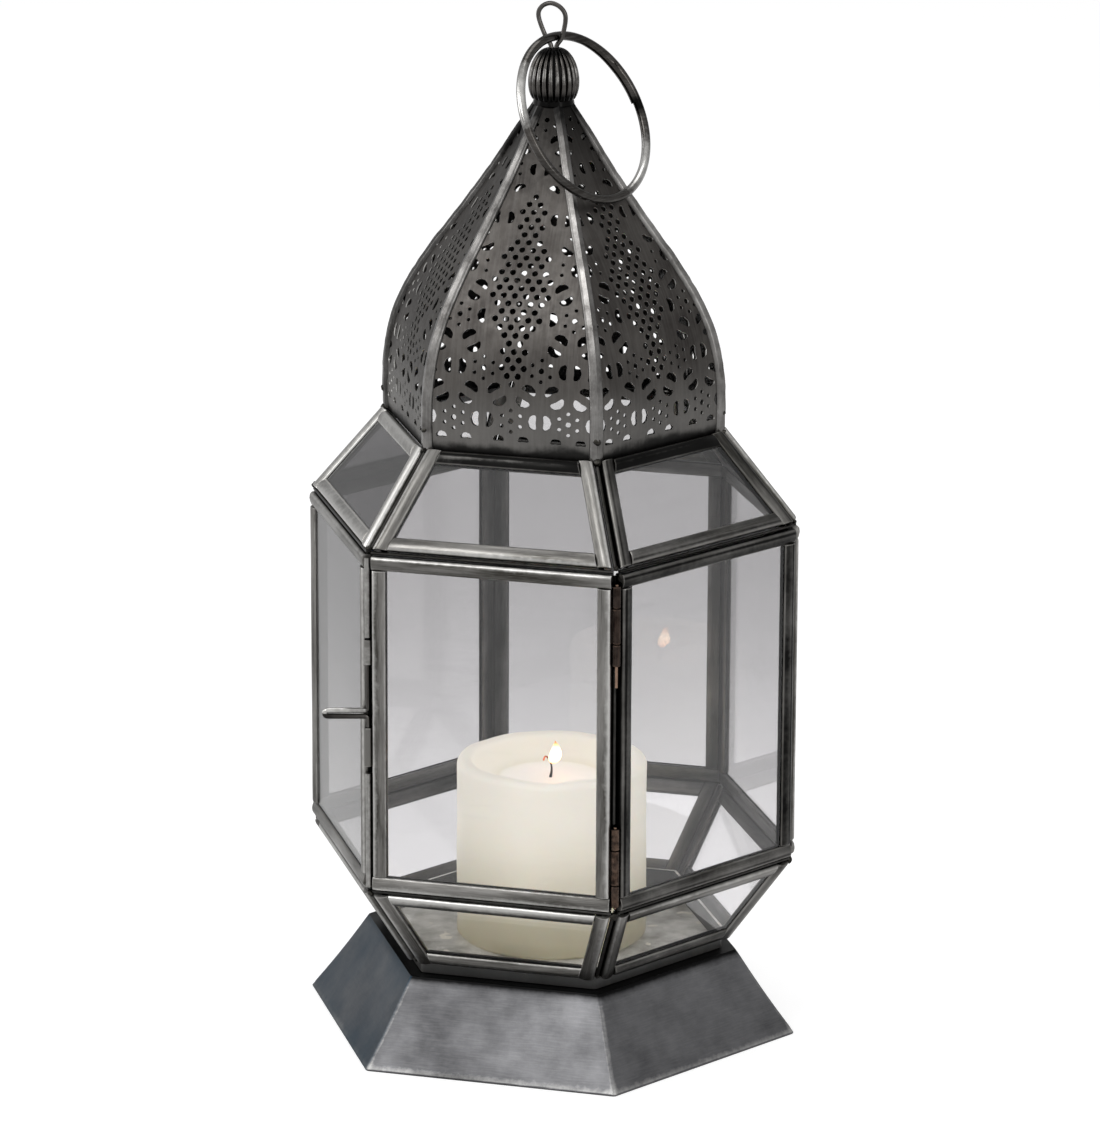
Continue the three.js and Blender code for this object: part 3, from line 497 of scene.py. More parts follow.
def zinc(name):
    """Sheet zinc blackened in a bath and rubbed back by hand: cloudy grey, fine rubbing lines along each
    piece, bright where edges stand proud and black where flux and soot stay in the grooves. The wear
    attribute also carries painted highlight and painted shade, which show here the same way."""
    found = bpy.data.materials.get(name)
    if found:
        return found
    look = SimpleNamespace(**{**PLAIN_ZINC, **FINISHES[name]})
    c = sizes("colours")
    worn = getattr(c, look.worn)
    material, add, shader = new_material(name)
    fleck_mm = 2.6
    place = add("ShaderNodeTexCoord")["Object"]
    wear = add("ShaderNodeAttribute", attribute_name="wear")["Fac"]
    # Rubbing lines, by the way they run: about 7 mm long round a piece, 11 mm along its grain, 17 mm up it
    fine = 1000 / look.lines_mm
    ways = {"height": (140.0, 140.0, fine), "grain": (90.0, fine, 1000.0), "upright": (fine, fine, 60.0)}
    lay, drawn = place, place
    if look.along == "grain":
        lay = add("ShaderNodeAttribute", attribute_name="grain")["Vector"]
        drawn = add("ShaderNodeMapping", {"Vector": lay, "Scale": (0.3, 2.2, 1.0)})["Vector"]
    stretched = add("ShaderNodeMapping", {"Vector": lay, "Scale": ways[look.along]})["Vector"]
    cloud, fleck, lines = [
        add("ShaderNodeTexNoise", {"Vector": at, "Scale": scale, "Detail": detail, "Roughness": rough})["Fac"]
        for at, scale, detail, rough in (
            (drawn, 1000 / look.cloud_mm, 6, 0.6),
            (place, 1000 / fleck_mm, 4, 0.65),
            (stretched, 1.0, 3, 0.7),
        )
    ]
    tone = add("ShaderNodeMapRange", {"Value": cloud, 1: 0.34, 2: 0.64})["Result"]
    rub = add("ShaderNodeMapRange", {"Value": lines, 1: 0.42, 2: 0.76, 3: 0.0, 4: look.rub_share})["Result"]
    uneven = add("ShaderNodeMath", {0: fleck, 1: 0.5}, operation="SUBTRACT")[0]
    edge = add("ShaderNodeMath", {0: uneven, 1: 0.9, 2: wear}, operation="MULTIPLY_ADD")[0]
    bright = add("ShaderNodeMapRange", {"Value": edge, 1: 0.3, 2: 1.05, 3: 0.0, 4: look.worn_share})["Result"]
    deep = add("ShaderNodeMath", {0: uneven, 1: 0.35, 2: wear}, operation="MULTIPLY_ADD")[0]
    soot = add("ShaderNodeMapRange", {"Value": deep, 1: -0.12, 2: -0.9, 3: 0.0, 4: 0.97})["Result"]
    body = (*getattr(c, look.dark), 1)
    for share, colour in ((tone, getattr(c, look.mid)), (rub, worn), (bright, worn), (soot, c.crevice)):
        body = add("ShaderNodeMix", {0: share, 6: body, 7: (*colour, 1)}, data_type="RGBA")[2]
    dull, smooth = look.roughness + 0.08, look.roughness - 0.05
    rough = add("ShaderNodeMapRange", {"Value": cloud, 1: 0.3, 2: 0.7, 3: dull, 4: smooth})["Result"]
    relief = add("ShaderNodeMath", {0: fleck, 1: 0.5, 2: lines}, operation="MULTIPLY_ADD")[0]
    bump = add("ShaderNodeBump", {"Strength": look.scored, "Distance": 0.0001, "Height": relief})["Normal"]
    fill(shader, {"Base Color": body, "Roughness": rough, "Normal": bump, "Metallic": 1.0})
    return material


def foot_zinc():
    """The foot's brushed sheet, with cloudy blue-black painted shade on the side left of the door."""
    material = zinc("brushed_zinc_foot")
    add, shader = opened(material)
    cloud_mm = 24
    plain = shader.inputs["Base Color"].links[0].from_socket
    place = add("ShaderNodeTexCoord")
    turn = HALF_SIDE * (2 * SIDE_NAMES.index("front_left") + 1)
    ways = {0: place["Normal"], 1: (math.cos(turn), math.sin(turn), 0.0)}
    left = add("ShaderNodeVectorMath", ways, operation="DOT_PRODUCT")["Value"]
    patches = {"Vector": place["Object"], "Scale": 1000 / cloud_mm, "Detail": 4}
    cloud = add("ShaderNodeTexNoise", patches)["Fac"]
    cloud = add("ShaderNodeMapRange", {"Value": cloud, 1: 0.36, 2: 0.64, 3: 0.4, 4: 0.84})["Result"]
    # Painted shade: faces that look to the left take the slate colour
    stain = add("ShaderNodeMapRange", {"Value": left, 1: 0.5, 2: 0.75, 3: 0.0, 4: cloud})["Result"]
    slate = (*sizes("colours").slate, 1)
    fill(shader, {"Base Color": add("ShaderNodeMix", {0: stain, 6: plain, 7: slate}, data_type="RGBA")[2]})
    return material


def floor_zinc():
    """The floor's sheet: dulled by wax and flecked with it on the flat, its rim painted black as shade, with
    a faint glow painted on as light.
    """
    c, material = sizes("colours"), zinc("wax_dulled_zinc_floor")
    add, shader = opened(material)
    drip_mm = 7
    body = shader.inputs["Base Color"].links[0].from_socket
    place = add("ShaderNodeTexCoord")
    level = add("ShaderNodeSeparateXYZ", {"Vector": place["Normal"]})["Z"]
    # Painted shade: faces that do not look up, the rim, turn black
    rim = add("ShaderNodeMapRange", {"Value": level, 1: 0.4, 2: 0.9, 3: 0.97, 4: 0.0})["Result"]
    drips = {"Vector": place["Object"], "Scale": 1000 / drip_mm, "Detail": 1}
    spilt = add("ShaderNodeTexNoise", drips)["Fac"]
    spilt = add("ShaderNodeMapRange", {"Value": spilt, 1: 0.66, 2: 0.7})["Result"]
    for share, tone in ((spilt, c.wax), (rim, c.crevice)):
        body = add("ShaderNodeMix", {0: share, 6: body, 7: (*tone, 1)}, data_type="RGBA")[2]
    # Painted light: a faint glow stands in for lamp light coming through the panes
    fill(shader, {"Base Color": body, "Metallic": 0.0, "Emission Color": body, "Emission Strength": 0.1})
    return material


def pane_glass(name, smoke):
    """Float glass, smooth and clear, with faint wipe marks and painted shade: a grey tint that darkens
    towards the top.
    """
    found = bpy.data.materials.get(name)
    if found:
        return found
    c, body = sizes("colours"), sizes("body")
    material, add, shader = new_material(name)
    place = add("ShaderNodeTexCoord")["Object"]
    height = add("ShaderNodeSeparateXYZ", {"Vector": place})["Z"]
    low = body.waist_height
    top = low + body.lower_rise + body.side_height
    # Painted shade: the pane greys towards the top, and the given amount darkens it all over
    thickens = {"Value": height, 1: low, 2: top, 3: smoke, 4: 1.0 + 1.3 * smoke}
    haze = add("ShaderNodeMapRange", thickens, interpolation_type="SMOOTHSTEP")["Result"]
    # Wipe marks about 2.4 mm apart and 33 mm long
    strokes = {"Vector": place, "Rotation": (0.9, 0.5, 0.0), "Scale": (30.0, 30.0, 420.0)}
    smear = add("ShaderNodeMapping", strokes)["Vector"]
    wiped = add("ShaderNodeTexNoise", {"Vector": smear, "Scale": 1.0, "Detail": 4})["Fac"]
    wiped = add("ShaderNodeMapRange", {"Value": wiped, 1: 0.55, 2: 0.75, 3: 0.0, 4: 0.07})["Result"]
    haze = add("ShaderNodeMath", {0: haze, 1: wiped}, operation="ADD")[0]
    ends = {0: haze, 6: (*c.glass_low, 1), 7: (*c.glass_high, 1)}
    tone = add("ShaderNodeMix", ends, data_type="RGBA", clamp_factor=False)[2]
    fill(shader, {"Base Color": tone, "Roughness": 0.0, "Transmission Weight": 1.0})
    return material


# Panel geometry, as in the solids


def tier_folds():
    """Inner fold points of the three tiers, from the waist up: half flats and height."""
    body = sizes("body")
    inner = body.body_flats / 2 - body.bar_depth
    low = body.waist_height
    sill = low + body.lower_rise
    eaves = sill + body.side_height
    neck = eaves + body.shoulder_rise
    return [(body.waist_flats / 2, low), (inner, sill), (inner, eaves), (body.neck_flats / 2, neck)]


class Pane:
    """One tier's flat panel: X along it, Y up its slope and Z out of its face."""

    def __init__(self, tier):
        folds = tier_folds()
        (self.apothem, self.base), (top, high) = folds[tier], folds[tier + 1]
        self.trim = sizes("body").seam / 2
        run, rise = self.apothem - top, high - self.base
        self.lean = math.atan2(run, rise)
        self.length = math.hypot(run, rise) - 2 * self.trim
        self.low_half = self.half_width(0)
        self.slope = (self.half_width(self.length) - self.low_half) / self.length

    def half_width(self, y):
        """Half the panel's width at a height up its slope."""
        apothem = self.apothem - (y + self.trim) * math.sin(self.lean)
        return apothem * TAN_HALF - self.trim / math.sin(2 * HALF_SIDE)

    def half(self, y, margin):
        """The same, in from the sloping edge by a margin."""
        return self.low_half + self.slope * y - margin * math.hypot(1, self.slope)

    def place(self, side):
        """Sets the panel on one side of the lantern."""
        sin, cos = math.sin(self.lean), math.cos(self.lean)
        x = self.apothem - self.trim * sin
        z = self.base + self.trim * cos
        face = Matrix(((0, -sin, cos, x), (1, 0, 0, 0), (0, cos, sin, z), (0, 0, 0, 1)))
        return Matrix.Rotation(HALF_SIDE * (2 * side + 1), 4, "Z") @ face


def bar_section():
    """The channel's section: inset from the outer edge, height over the inner face, wear."""
    body = sizes("body")
    wide, deep, r = body.bar_width, body.bar_depth, body.bar_round
    front = (deep + body.glass) / 2 + body.seam / 3
    back = (deep - body.glass) / 2 - body.seam / 3
    shelf = wide - body.rebate - body.seam
    section = [(0, r / 2, -1.0), (0, deep * 0.5, -1.0), (0, deep - 2.4 * r, -0.6)]
    turn = 1.6 * r
    for t, wear in zip(np.linspace(0, math.pi / 2, 6), (-0.1, 0.5, 0.9, 1.0, 0.6, 0.3)):
        section.append((turn - turn * math.cos(t), deep - turn + turn * math.sin(t), wear))
    # A face a little crowned, falling to a lower inner edge
    for share, rise, wear in ((0.42, 0.0001, 0.1), (0.55, 0.00002, 0.0), (0.7, -0.00016, -0.1)):
        section.append((wide * share, deep + rise, wear))
    low = deep - 0.0005
    for t, wear in zip(np.linspace(math.pi * 0.42, 0, 5), (-0.1, 0.3, 0.45, 0.0, -0.5)):
        section.append((wide - r + r * math.cos(t), low - r + r * math.sin(t), wear))
    section += [(wide, front, -0.9), (shelf, front, -1.0), (shelf, back, -1.0), (wide, back, -0.7)]
    section += [(wide, r / 2, -0.3), (wide - r / 2, 0, -0.1), (wide / 2, 0, -0.5), (r / 2, 0, -0.5)]
    return np.array(section)


def add_bar(skin, section, start, end, place, number, patina):
    """One bar of a frame. start and end give its ends in the panel for each inset of the section."""
    inset, lift, wear = section.T
    body = sizes("body")
    ring_pitch, soft_end, dent, dented = 0.007, 0.0005, 0.00009, 0.003
    # Painted shade: the darkest bars are darker still towards their outer edge
    if patina < -0.4:
        wear = wear - 0.6 * (inset < body.bar_width * 0.35)
    heads = np.array([(*start(m), z) for m, z in zip(inset, lift)])
    tails = np.array([(*end(m), z) for m, z in zip(inset, lift)])
    span = np.linalg.norm(tails.mean(axis=0) - heads.mean(axis=0))
    steps = max(3, int(span / ring_pitch))
    soft = soft_end / span
    stops = [0, soft, *np.linspace(0, 1, steps + 1)[1:-1], 1 - soft, 1]
    around = np.concatenate(([0], np.cumsum(np.hypot(np.diff(inset), np.diff(lift)))))
    rings, grain, worn = [], [], []
    # Each bar has its own dents and its own rubbing, takes its frame's painted highlight or shade, and ends a
    # little rounded and bright
    for i, t in enumerate(stops):
        ring = heads + (tails - heads) * t
        middle = ring.mean(axis=0)
        if i in (0, len(stops) - 1):
            ring = middle + (ring - middle) * (1, 1, 0.9)
            worn.append(np.where(lift > body.bar_depth / 2, np.maximum(wear, 0.55), wear) + patina)
        else:
            wave = spot((*middle[:2], number * 0.37), 45)
            ring = ring + (0, 0, dent) * np.array(wave) * (lift > dented)[:, None]
            worn.append(wear + 0.25 * spot((*middle[:2], number * 0.61 + 3), 70) + patina)
        rings.append(ring)
        along, offset = np.full(len(lift), t * span), np.full(len(lift), number * 0.1)
        grain.append(np.stack((along, around, offset), axis=1))
    skin.loft(rings, np.array(worn), np.array(grain), place=place)


# How much painted highlight or painted shade a frame's stiles, lower rail and upper rail get: brighter at the
# front and on the front left shoulder, darker on the right and on the shoulder rails under the dome
PLAIN = {"lower": (-0.1, -0.1, -0.1), "side": (-0.1, -0.1, -0.1), "shoulder": (-0.1, -0.1, -0.6)}
PATINA = {
    ("lower", "front"): (0.2, 0.2, 0.42),
    ("lower", "front_right"): (-0.32, -0.45, -0.32),
    ("side", "front"): (0.15, 0.08, -0.06),
    ("side", "front_left"): (-0.14, -0.14, -0.14),
    ("side", "front_right"): (-0.75, -0.5, -0.7),
    ("shoulder", "front"): (-0.1, -0.1, -0.92),
    ("shoulder", "front_left"): (0.75, 0.75, 0.75),
    ("shoulder", "front_right"): (-0.5, -0.5, -1.0),
}


def add_frame(skin, pane, side, tier):
    """The four bars round a pane. Rails run over the stiles, or stiles over the rails."""
    section, place, long = bar_section(), pane.place(side), pane.length
    cut = sizes("body").bar_width + sizes("body").seam / 3
    rails_over = tier == "side"
    foot, head, rail_margin = (cut, long - cut, 0) if rails_over else (0, long, cut)

    def stile_end(inset, sign, y):
        return sign * pane.half(y, inset), y

    def rail_end(inset, sign, way):
        y = inset if sign < 0 else long - inset
        return way * pane.half(y, rail_margin), y

    number = side * 10 + pane.base * 1000
    stile, *rails = PATINA.get((tier, SIDE_NAMES[side]), PLAIN[tier])
    for sign, rail in zip((-1, 1), rails):
        ends = [partial(stile_end, sign=sign, y=y) for y in (foot, head)]
        add_bar(skin, section, *ends, place, number + sign, stile)
        ends = [partial(rail_end, sign=sign, way=way) for way in (-1, 1)]
        add_bar(skin, section, *ends, place, number + 4 + sign, rail)


class LANTERN_OT_frames(bpy.types.Operator):
    """Folded zinc channels round every pane, and the door's own"""

    bl_idname = "lantern.frames"
    bl_label = "Pane frames"

    def execute(self, context):
        for tier, label in enumerate(("lower", "side", "shoulder")):
            pane, skin, nodes = Pane(tier), Skin(), []
            for side, name in enumerate(SIDE_NAMES):
                if label == "side" and side == DOOR_SIDE:
                    continue
                add_frame(skin, pane, side, label)
                nodes.append(f"{label}_frame_{name}")
            skin.piece(f"{label}_channels", zinc("antiqued_zinc_channel"), "lantern", nodes, "frame_zinc")
        door = Skin()
        add_frame(door, Pane(1), DOOR_SIDE, "side")
        door.piece("door_channels", zinc("antiqued_zinc_channel"), "door", ["door_frame"], "frame_zinc")
        return {"FINISHED"}


class LANTERN_OT_panes(bpy.types.Operator):
    """Float glass in every frame"""

    bl_idname = "lantern.panes"
    bl_label = "Glass panes"

    def execute(self, context):
        for name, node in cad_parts.items():
            if "_glass" in name:
                node.data.materials.clear()
                # The pane on the front left gets more painted shade than the rest
                smoked = name.endswith("front_left")
                finish = ("float_glass_smoke_stained", 1.3) if smoked else ("float_glass_clear", 0.0)
                node.data.materials.append(pane_glass(*finish))
                node.visible_shadow = False
        return {"FINISHED"}


# Hinges, latch, rods and solder


def groove_axis(corner):
    """Where a tube lies in the groove at a corner of the upright tier, clear of both frames."""
    hinges, body = sizes("hinges"), sizes("body")
    reach = (Pane(1).low_half + hinges.knuckle / 2 + body.seam) / math.sin(HALF_SIDE)
    turn = 2 * HALF_SIDE * corner
    return reach * math.cos(turn), reach * math.sin(turn)


def add_tube(skin, side, sign, base, long, bore, rub):
    """A rolled tube on a frame's edge and the leaf that carries it: bright rims, rubbed as given between."""
    hinges, body, pane = sizes("hinges"), sizes("body"), Pane(1)
    radius = hinges.knuckle / 2
    along = pane.low_half + radius + body.seam
    out = along / TAN_HALF - pane.apothem
    soft, top = radius * 0.15, base + long
    profile = [(bore, base), (radius - soft, base), (radius, base + soft), (radius, base + 4 * soft)]
    profile += [(radius, top - 4 * soft), (radius, top - soft), (radius - soft, top), (bore, top)]
    wear = np.array([-1.0, 0.0, 0.45, rub, rub, 0.45, 0.0, -1.0])[:, None]
    place = pane.place(side)
    stand = place @ Matrix.Translation((sign * along, 0, out)) @ Matrix.Rotation(-math.pi / 2, 4, "X")
    skin.turned(profile, 24, wear, stand)
    reach = radius + body.seam + body.bar_width / 4
    near, far = sign * along, sign * (along - reach)
    half = hinges.web / 2
    edges = ((near, out - half), (far, out - half), (far, out + half), (near, out + half))
    skin.loft([[(x, y, z) for x, z in edges] for y in (base + soft, top - soft)], -0.6, place=place)


def hinge_bases():
    """Bottom of each hinge above the door's bottom edge."""
    hinges, body = sizes("hinges"), sizes("body")
    whole = 2 * hinges.fixed_knuckle + hinges.door_knuckle + 2 * body.seam
    return Pane(1).length - hinges.upper_drop - whole, hinges.lower_lift


class LANTERN_OT_hinges(bpy.types.Operator):
    """Rolled knuckles, wire pins, latch sleeves and the bent wire latch"""

    bl_idname = "lantern.hinges"
    bl_label = "Hinges and latch"

    def execute(self, context):
        hinges, body = sizes("hinges"), sizes("body")
        base_z = Pane(1).base + body.seam / 2
        bore = hinges.pin / 2 + body.seam
        pin_end = 0.0006
        fixed, door, pins = Skin(), Skin(), Skin()
        for base, tail, rub in zip(hinge_bases(), (hinges.pin_tail, pin_end), (0.1, 0.4)):
            middle = base + hinges.fixed_knuckle + body.seam
            last = middle + hinges.door_knuckle + body.seam
            for level in (base, last):
                add_tube(fixed, DOOR_SIDE + 1, -1, level, hinges.fixed_knuckle, bore, rub)
            add_tube(door, DOOR_SIDE, 1, middle, hinges.door_knuckle, bore, rub)
            x, y = groove_axis(HINGE_CORNER)
            ends = base_z + base - tail, base_z + last + hinges.fixed_knuckle + pin_end
            pins.tube([(x, y, z) for z in np.linspace(*ends, 6)], hinges.pin / 2, wear=1.0)
        stained = zinc("copper_stained_hinge")
        fixed.piece("hinge_knuckles_fixed", stained, "lantern", slot="coppered_pin")
        door.piece("hinge_knuckles_door", stained, "door", slot="coppered_pin")
        pins.piece("hinge_pins", stained, "lantern", ["hinge_pin_upper", "hinge_pin_lower"], "coppered_pin")

        sleeves = Skin()
        high = hinges.latch_height
        low = high - hinges.latch_spread
        upper = high + hinges.upper_sleeve_gap
        lower = low - hinges.lower_sleeve_gap - hinges.lower_sleeve
        sleeve_bore = hinges.latch_wire / 2 + body.seam
        add_tube(sleeves, DOOR_SIDE - 1, 1, upper, hinges.upper_sleeve, sleeve_bore, 0.4)
        add_tube(sleeves, DOOR_SIDE - 1, 1, lower, hinges.lower_sleeve, sleeve_bore, 0.1)
        sleeves.piece("latch_sleeves", zinc("antiqued_zinc_channel"), "lantern", slot="frame_zinc")

        tip = hinges.latch_reach - hinges.latch_wire / 2
        top = upper + hinges.upper_sleeve - body.seam
        bends = ((0, top), (0, high), (tip, high), (tip, low), (0, low), (0, lower + body.seam))
        run = bent_run([(out, 0, z) for out, z in bends], hinges.latch_bend)
        x, y = groove_axis(LATCH_CORNER)
        turn = np.array(Matrix.Rotation(hinges.latch_azimuth, 3, "Z"))
        latch = Skin()
        # Outside its sleeves the wire is a little thicker, with a painted highlight above and painted shade
        # below
        begins, blend, thicker = 0.0002, 0.0012, 0.00027
        out = np.clip((run[:, 0] - begins) / blend, 0, 1)
        thick = hinges.latch_wire / 2 + thicker * out
        polish = np.where(run[:, 2] > (high + low) / 2, 1.0, -0.7) * out
        latch.tube(run @ turn.T + (x, y, base_z), thick, wear=polish[:, None])
        latch.piece("latch_handle", zinc("antiqued_zinc_wire"), "latch", ["latch_wire"], "bright_zinc")
        return {"FINISHED"}


def corner_line(corner, start, end, steps=10):
    """Points along a corner between two (radius, height) ends."""
    turn = 2 * HALF_SIDE * corner
    run = np.array(start) + np.subtract(end, start) * np.linspace(0, 1, steps)[:, None]
    return [(r * math.cos(turn), r * math.sin(turn), z) for r, z in run]


def side_line(side, apothem, height, half, steps=10):
    """Level points along one side."""
    turn = HALF_SIDE * (2 * side + 1)
    cos, sin = math.cos(turn), math.sin(turn)
    across = np.linspace(-half, half, steps)
    return [(apothem * cos - x * sin, apothem * sin + x * cos, height) for x in across]


def solder_tree():
    """Solder drops: small spheres on points, turned and sized at random and pulled out of round."""
    add, given = shape_tree("solder_drops", "Drop", "Unevenness")
    ball = add("GeometryNodeMeshIcoSphere", {"Radius": given["Drop"], "Subdivisions": 3})["Mesh"]
    share = add("FunctionNodeRandomValue", {2: 0.6, 3: 1.15, "Seed": 7}, data_type="FLOAT")[1]
    drops = add(
        "GeometryNodeInstanceOnPoints", {"Points": given["Geometry"], "Instance": ball, "Scale": share}
    )["Instances"]
    real = add("GeometryNodeRealizeInstances", {"Geometry": drops})["Geometry"]
    # Lumps about 1.4 mm apart
    lump = add("ShaderNodeTexNoise", {"Scale": 700.0, "Detail": 2.0})["Fac"]
    push = add("ShaderNodeMath", {0: lump, 1: 0.5}, operation="SUBTRACT")[0]
    push = add("ShaderNodeMath", {0: push, 1: given["Unevenness"]}, operation="MULTIPLY")[0]
    normal = add("GeometryNodeInputNormal")["Normal"]
    offset = add("ShaderNodeVectorMath", {0: normal, "Scale": push}, operation="SCALE")["Vector"]
    moved = add("GeometryNodeSetPosition", {"Geometry": real, "Offset": offset})["Geometry"]
    return closed_tree(add, moved, given)


class LANTERN_OT_grooves(bpy.types.Operator):
    """Blackened rods soldered into the grooves between frames, with drops of solder at the corners"""

    bl_idname = "lantern.grooves"
    bl_label = "Groove rods and solder"

    def execute(self, context):
        body, hinges = sizes("body"), sizes("hinges")
        radius = body.groove_rod / 2
        folds = tier_folds()
        waist, sill, eaves, neck = [(a / COS_HALF, z) for a, z in folds]
        upright = (Pane(1).low_half + radius) / math.sin(HALF_SIDE)
        # Upright rods stop short of the rails, the hinges and the latch's sleeves
        upper_hinge, lower_hinge = hinge_bases()
        base_z = Pane(1).base
        gap, over_hinge, under_hinge, under_sleeve = 0.001, 0.002, 0.0015, 0.0026
        bottom, head = base_z + gap, base_z + body.side_height - gap
        hinge_top = base_z + lower_hinge + (2 * hinges.fixed_knuckle + hinges.door_knuckle)
        high = base_z + hinges.latch_height
        sleeves_top = high + hinges.upper_sleeve_gap + hinges.upper_sleeve
        sleeves_foot = high - hinges.latch_spread - hinges.lower_sleeve_gap - hinges.lower_sleeve
        spans = {corner: [(bottom, head)] for corner in range(SIDES)}
        spans[HINGE_CORNER] = [(hinge_top + over_hinge, base_z + upper_hinge - under_hinge)]
        spans[LATCH_CORNER] = [(bottom, sleeves_foot - under_sleeve), (sleeves_top + gap, head)]
        lean_lift, fold_lift, corner_gap = 0.0011, 0.0026, 0.0012
        rods = Skin()
        for corner in range(SIDES):
            reach, thick, worn = upright, radius, -0.65
            if corner == LATCH_CORNER:
                # At the latch corner the rod is thicker and painted bright, a painted highlight
                reach, thick, worn = math.hypot(*groove_axis(corner)), hinges.knuckle * 0.36, 0.6
            for low, top in spans[corner]:
                rods.tube(corner_line(corner, (reach, low), (reach, top)), thick, 14, worn)
            for start, end in ((waist, sill), (eaves, neck)):
                along = (Vector(end) - Vector(start)).normalized()
                off = Vector((along.y, -along.x)) * (radius + lean_lift)
                ends = [tuple(Vector(p) + off) for p in (start, end)]
                rods.tube(corner_line(corner, *ends), radius, 10, -0.7)
        # Fine black fillets lie behind the hinges and the latch
        fine = 0.00045
        apex = (Pane(1).low_half + fine) / math.sin(HALF_SIDE)
        for corner in (HINGE_CORNER, LATCH_CORNER):
            rods.tube(corner_line(corner, (apex, bottom), (apex, head)), fine, 8, -1.0)
        for side in range(SIDES):
            for (apothem, z), lean in ((folds[1], Pane(0).lean / 2), (folds[2], Pane(2).lean / 2)):
                out = apothem + fold_lift * math.cos(lean)
                run = side_line(side, out, z + fold_lift * math.sin(lean), out * TAN_HALF - corner_gap)
                rods.tube(run, radius * 0.8, 10, -0.75)
        rods.piece("groove_rods", zinc("antiqued_zinc_channel"), "lantern", slot="frame_zinc")

        # Drops where frames meet at a corner, by how far out and up from the fold
        points = []
        offsets = ((0.0012, -0.001), (0.0022, -0.0019), (0.0022, 0.0019), (0.0024, 0.0016))
        for corner in range(SIDES):
            for (r, z), (off, rise) in zip((waist, sill, eaves, neck), offsets):
                drop = (r + off, z + rise)
                points += corner_line(corner, drop, drop, 1)
        # Drops half sunk in the ribs, at shares of their length
        line, dome, sunk = dome_curve()[0], sizes("dome"), 0.0013
        for share in (0.05, 0.5):
            r, z = line[int(share * len(line))]
            drop = (r + dome.rib_thickness - sunk, z + dome.seat)
            for corner in range(SIDES):
                points += corner_line(corner, drop, drop, 1)
        source = bpy.data.meshes.new("solder_points")
        source.from_pydata(points, [], [])
        finish = zinc("blackened_solder")
        drops = {"Drop": 0.0014, "Unevenness": 0.0016, "Material": finish}
        mesh = nodes_mesh("solder_drops", solder_tree(), drops, source)
        finished("solder_drops", mesh, finish, "lantern", sharp=60)
        return {"FINISHED"}


# Foot and floor


def hex_ring(apothem, corner, bend=5):
    """A hexagon with filleted corners: points, how near each is to a corner from 0 to 1, and its side."""
    points, ridge, sides = [], [], []
    # More points close to the corners, where the bright ridge fades out
    ridge_width, close = 0.0011, np.array((0.0005, 0.0012, 0.004))
    corner = min(corner, apothem)
    reach = (apothem - corner) / COS_HALF
    straight = reach * math.sin(HALF_SIDE) * 2
    for k in range(SIDES):
        turn = 2 * HALF_SIDE * k
        middle = np.array((reach * math.cos(turn), reach * math.sin(turn)))
        for t in np.linspace(-HALF_SIDE, HALF_SIDE, bend):
            points.append(middle + corner * np.array((math.cos(turn + t), math.sin(turn + t))))
            ridge.append(1.0)
            sides.append(k)
        ahead = turn + HALF_SIDE
        step = straight * np.array((-math.sin(ahead), math.cos(ahead)))
        begin = middle + corner * np.array((math.cos(ahead), math.sin(ahead)))
        near = close / straight
        for t in (*near, *np.linspace(0.12, 0.88, 9), *(1 - near[::-1])):
            points.append(begin + step * t)
            ridge.append(max(0.0, 1 - min(t, 1 - t) * straight / ridge_width))
            sides.append(k)
    return np.array(points), np.array(ridge), np.array(sides)


